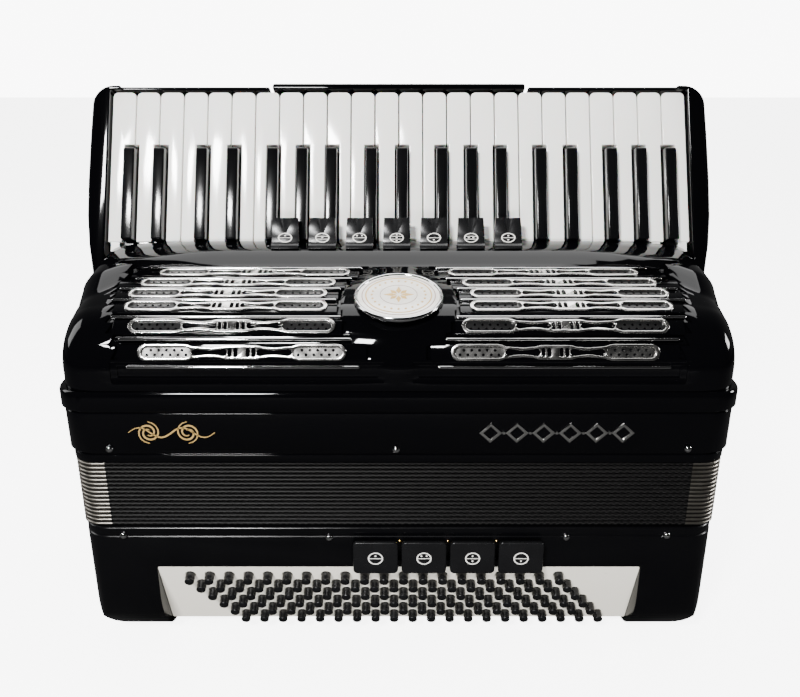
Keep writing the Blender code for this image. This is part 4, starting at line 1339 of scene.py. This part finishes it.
def bass_tabs():
    """Four cushioned push tabs on their rail, with white signs and small brass pins between them."""
    low, high = BASS_TAB_XS[0] - 0.016, BASS_TAB_XS[-1] + 0.016
    bodies = [box((low, high), (-0.0952, -0.0917), (0.079, 0.099))]
    signs, pins = [], []
    middle = (0.0748 + 0.1030) / 2
    for number, x in enumerate(BASS_TAB_XS):
        bodies.append(box((x - 0.012, x + 0.012), (-0.1075, -0.0935), (0.084, 0.094)))
        face = rounded_rectangle(0.01745, 0.0141, 0.0035, 6, (x, middle))
        tab = prism(face, -0.1101, -0.1061, "Y")
        bodies.append(eased(tab, 0.0012, 4, 40, 45))
        sign = sign_of((0, 2, 6, 4)[number], 0.0054)
        signs.append(moved(sign, lambda p, x=x: Vector((x + p.x * 1.08, -0.1102 + 0.0006 * (1 - p.z), middle + p.y))))
        if number:
            dome = turned([(0.0011, 0.0), (0.0011, 0.0008), (0.0005, 0.0013)], 12)
            pins.append(moved(dome, lambda p, x=x: Vector((x - 0.0188 + p.x, -FRONT - p.z, 0.1000 + p.y))))
    fitted(eased(joined(bodies), 0), "bass_tab_bodies", "bass_registers", moulded_black(), ["bass_registers"])
    fitted(joined(signs), "bass_tab_signs", "bass_registers", white_paint())
    fitted(eased(joined(pins), 0), "tab_guide_pins", BASS, brass())


def bass_fittings():
    """Hand strap with its stitching, end cover with air slots, adjusting wheel and air button."""
    cover = prism(rounded_rectangle(0.160, 0.0575, 0.008, 6, (0, 0.0175)), 0.0247, 0.0277)
    slots = [prism(slot_outline((x * 0.024, y), 0.0095, 0.0016), 0.0, 0.1) for x in range(-5, 6) for y in (0.060, 0.066)]
    cut(cover, slots)
    fitted(eased(cover, 0.0005), "end_cover", BASS, satin_lacquer(), ["bass_end_cover"])

    line = [(-0.180, 0.0240), (-0.172, 0.0140), (-0.155, 0.0075), (-0.125, 0.0050), (-0.060, 0.0046)]
    line += [(-x, z) for x, z in reversed(line)]
    across = [-0.020 + 0.070 * i / 8 for i in range(9)]

    def place(i, j):
        x, z = line[i]
        return (x, across[j], z + 0.0003 * math.cos(math.pi * (j - 4) / 4))

    strap = surface(len(line), len(across), place)
    modify(strap, "SUBSURF", levels=2, render_levels=2, boundary_smooth="PRESERVE_CORNERS")
    modify(strap, "SOLIDIFY", thickness=0.0026, offset=0.0)
    eased(strap, 0.0006, 2, 50, 50)
    fitted(strap, "hand_strap", BASS, leather(), ["bass_strap"])
    threads = []
    for i in range(52):
        x = -0.1173 + 0.0046 * i
        for y in (-0.0165, 0.0465):
            stitch = box((x - 0.0015, x + 0.0015), (y - 0.0003, y + 0.0003), (0.0029, 0.0037))
            threads.append(stitch)
    fitted(joined(threads), "strap_stitching", BASS, white_paint())

    wheel = turned([(0.0105, -0.0024), (0.0115, -0.0018), (0.0115, 0.0018), (0.0105, 0.0024), (0.0070, 0.0024),
                    (0.0064, 0.0018), (0.0010, 0.0018)], 60)
    for vertex in wheel.data.vertices:
        angle = math.atan2(vertex.co.y, vertex.co.x)
        if math.hypot(vertex.co.x, vertex.co.y) > 0.011 and round(angle / math.tau * 60) % 2:
            vertex.co = vertex.co * 0.955
    shaft = turned([(0.0020, -0.0140), (0.0020, 0.0)], 12)
    wheel = moved(joined([wheel, shaft]), lambda p: Vector((0.2441 + p.z, STRAP_WHEEL[0] + p.x, STRAP_WHEEL[1] + p.y)))
    fitted(eased(wheel, 0, smooth=25), "strap_wheel_rim", "strap_wheel", chrome(), ["strap_wheel"])
    stem = turned([(0.0060, 0.2320), (0.0085, 0.2325), (0.0085, 0.2350), (0.0060, 0.2352), (0.0060, 0.2490),
                   (0.0054, 0.2500), (0.0036, 0.2505), (0.0005, 0.2504)], 28)
    moved(stem, lambda p: Vector((p.z, AIR_BUTTON[0] + p.x, AIR_BUTTON[1] + p.y)))
    fitted(eased(stem, 0, smooth=40), "air_button_stem", "air_button", chrome(), ["air_button"])


def hidden_pieces():
    """Reed blocks and key axle keep the frame's own shapes, with wood and steel on them."""
    for name, material in (("treble_reed_block", spruce()), ("bass_reed_block", spruce()), ("key_axle", brushed_steel())):
        node = bpy.data.objects[name]
        node.data.materials.clear()
        node.data.materials.append(material)


# ---------------------------------------------------------------- stage

def area_light(name, place, aim, size, power):
    data = bpy.data.lights.new(name, "AREA")
    data.shape = "RECTANGLE"
    data.size, data.size_y = size
    data.energy = power
    lamp = bpy.data.objects.new(name, data)
    bpy.context.collection.objects.link(lamp)
    lamp.location = place
    lamp.rotation_euler = (Vector(aim) - Vector(place)).to_track_quat("-Z", "Y").to_euler()
    return lamp


def stage(camera_lens, floor_reach):
    bpy.ops.object.select_all(action="DESELECT")
    bpy.ops.mesh.primitive_plane_add(size=floor_reach)
    floor = bpy.context.object
    floor.name = "studio_floor"
    floor.data.materials.append(backdrop_paper())

    world = bpy.context.scene.world or bpy.data.worlds.new("studio")
    bpy.context.scene.world = world
    world.use_nodes = True
    tree = world.node_tree
    background = tree.nodes["Background"]
    heading = add_node(tree, "ShaderNodeTexCoord").outputs["Generated"]
    heading = add_node(tree, "ShaderNodeSeparateXYZ", links={0: heading})
    # A white studio wall behind the object, and a dim room in front of it
    wall = add_node(
        tree,
        "ShaderNodeMapRange",
        {"interpolation_type": "SMOOTHSTEP"},
        {"Value": heading.outputs["Y"], "From Min": -0.25, "From Max": 0.80, "To Min": 0.016, "To Max": 0.14},
    )
    seen = add_node(tree, "ShaderNodeLightPath").outputs["Is Camera Ray"]
    around = add_node(
        tree, "ShaderNodeMath", {"operation": "MULTIPLY_ADD"}, {0: seen, 1: BACKDROP_LIGHT, 2: wall.outputs["Result"]}
    )
    tree.links.new(around.outputs[0], background.inputs["Color"])
    background.inputs["Strength"].default_value = 1.0

    area_light("top_softbox", (0.0, 0.45, 1.5), (0, 0.0, 0.25), (1.6, 0.9), 24)
    area_light("key_light", (-0.55, -1.3, 1.35), (0, 0.0, 0.34), (0.30, 0.22), 60)
    fill = area_light("low_fill", (0.0, -1.3, 0.18), (0, -0.1, 0.05), (1.0, 0.25), 20)
    fill.visible_glossy = False
    area_light("right_softbox", (1.3, 0.0, 0.62), (0, 0, 0.2), (0.28, 0.28), 9)
    area_light("left_softbox", (-1.3, 0.1, 0.9), (0, 0, 0.2), (0.4, 0.8), 6)

    data = bpy.data.cameras.new("camera")
    data.lens = camera_lens
    data.sensor_width = 36
    data.clip_start = 0.01
    camera = bpy.data.objects.new("camera", data)
    bpy.context.collection.objects.link(camera)
    camera.location = (0.001, -0.6699 + MIDDLE_Y, 0.472)
    camera.rotation_euler = (math.radians(90 - 20.5), 0, 0)
    bpy.context.scene.camera = camera


# ---------------------------------------------------------------- add-on

class AccordionSettings(bpy.types.PropertyGroup):
    """What a user would change before building."""

    folds: bpy.props.IntProperty(name="Folds", description="How many folds the bellows has", default=16, min=8, max=24)
    lens: bpy.props.FloatProperty(name="Lens", description="Focal length of the camera", default=38.25, unit="CAMERA")
    floor: bpy.props.FloatProperty(name="Floor", description="Side of the studio floor", default=12.0, unit="LENGTH")


class PieceBuilder:
    """What all the operators below share."""

    bl_options = {"REGISTER", "UNDO"}
    makers = ()

    def execute(self, context):
        for maker in self.makers:
            maker()
        return {"FINISHED"}


class ACCORDION_OT_grille(PieceBuilder, bpy.types.Operator):
    """Grille cover with its ribbed recesses"""

    bl_idname = "accordion.grille"
    bl_label = "Grille Cover"
    makers = (grille_cover, grille_ribs)


class ACCORDION_OT_trim(PieceBuilder, bpy.types.Operator):
    """Pierced strips, screens and rods on the grille"""

    bl_idname = "accordion.trim"
    bl_label = "Grille Trim"
    makers = (grille_trim,)


class ACCORDION_OT_badge(PieceBuilder, bpy.types.Operator):
    """Enamel badge and the scroll ornaments"""

    bl_idname = "accordion.badge"
    bl_label = "Badge and Ornaments"
    makers = (badge, scroll_ornament)


class ACCORDION_OT_tabs(PieceBuilder, bpy.types.Operator):
    """Seven treble register tabs"""

    bl_idname = "accordion.tabs"
    bl_label = "Treble Tabs"
    makers = (treble_tabs,)


class ACCORDION_OT_white_keys(PieceBuilder, bpy.types.Operator):
    """24 white keys with their levers"""

    bl_idname = "accordion.white_keys"
    bl_label = "White Keys"
    makers = (white_keys,)


class ACCORDION_OT_black_keys(PieceBuilder, bpy.types.Operator):
    """17 black keys with their levers"""

    bl_idname = "accordion.black_keys"
    bl_label = "Black Keys"
    makers = (black_keys,)


class ACCORDION_OT_fingerboard(PieceBuilder, bpy.types.Operator):
    """Fingerboard, landing felt and palm switch"""

    bl_idname = "accordion.fingerboard"
    bl_label = "Fingerboard"
    makers = (fingerboard,)


class ACCORDION_OT_treble_casing(PieceBuilder, bpy.types.Operator):
    """Treble casing, with the pins, studs and screws of the whole instrument"""

    bl_idname = "accordion.treble_casing"
    bl_label = "Treble Casing and Heads"
    makers = (treble_casing, domed_heads)


class ACCORDION_OT_bellows(bpy.types.Operator):
    """Bellows folds with their metal corners"""

    bl_idname = "accordion.bellows"
    bl_label = "Bellows"
    bl_options = {"REGISTER", "UNDO"}

    def execute(self, context):
        bellows(context.scene.accordion.folds)
        return {"FINISHED"}


class ACCORDION_OT_bass_casing(PieceBuilder, bpy.types.Operator):
    """Bass casing with its feet"""

    bl_idname = "accordion.bass_casing"
    bl_label = "Bass Casing"
    makers = (bass_casing,)


class ACCORDION_OT_bass_buttons(PieceBuilder, bpy.types.Operator):
    """Button board, 120 buttons and four register tabs"""

    bl_idname = "accordion.bass_buttons"
    bl_label = "Bass Buttons"
    makers = (button_board, bass_buttons, bass_tabs)


class ACCORDION_OT_bass_fittings(PieceBuilder, bpy.types.Operator):
    """Hand strap, end cover, strap wheel, air button, and the pieces inside"""

    bl_idname = "accordion.bass_fittings"
    bl_label = "Bass Fittings"
    makers = (bass_fittings, hidden_pieces)


class ACCORDION_OT_stage(bpy.types.Operator):
    """Pale floor, soft light and camera"""

    bl_idname = "accordion.stage"
    bl_label = "Stage"
    bl_options = {"REGISTER", "UNDO"}

    def execute(self, context):
        settings = context.scene.accordion
        stage(settings.lens, settings.floor)
        return {"FINISHED"}


OPERATORS = (
    ACCORDION_OT_grille,
    ACCORDION_OT_trim,
    ACCORDION_OT_badge,
    ACCORDION_OT_tabs,
    ACCORDION_OT_white_keys,
    ACCORDION_OT_black_keys,
    ACCORDION_OT_fingerboard,
    ACCORDION_OT_treble_casing,
    ACCORDION_OT_bellows,
    ACCORDION_OT_bass_casing,
    ACCORDION_OT_bass_buttons,
    ACCORDION_OT_bass_fittings,
    ACCORDION_OT_stage,
)


class ACCORDION_PT_pieces(bpy.types.Panel):
    """Lists every piece that can be built"""

    bl_idname = "ACCORDION_PT_pieces"
    bl_label = "Piano Accordion"
    bl_space_type = "VIEW_3D"
    bl_region_type = "UI"
    bl_category = "Accordion"

    def draw(self, context):
        settings = context.scene.accordion
        for name in ("folds", "lens", "floor"):
            self.layout.prop(settings, name)
        for operator in OPERATORS:
            self.layout.operator(operator.bl_idname)


CLASSES = (AccordionSettings, *OPERATORS, ACCORDION_PT_pieces)


def register():
    for item in CLASSES:
        bpy.utils.register_class(item)
    bpy.types.Scene.accordion = bpy.props.PointerProperty(type=AccordionSettings)


def unregister():
    del bpy.types.Scene.accordion
    for item in reversed(CLASSES):
        bpy.utils.unregister_class(item)


def main():
    register()
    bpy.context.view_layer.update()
    for operator in OPERATORS:
        group, name = operator.bl_idname.split(".")
        getattr(getattr(bpy.ops, group), name)()


if __name__ == "__main__":
    main()
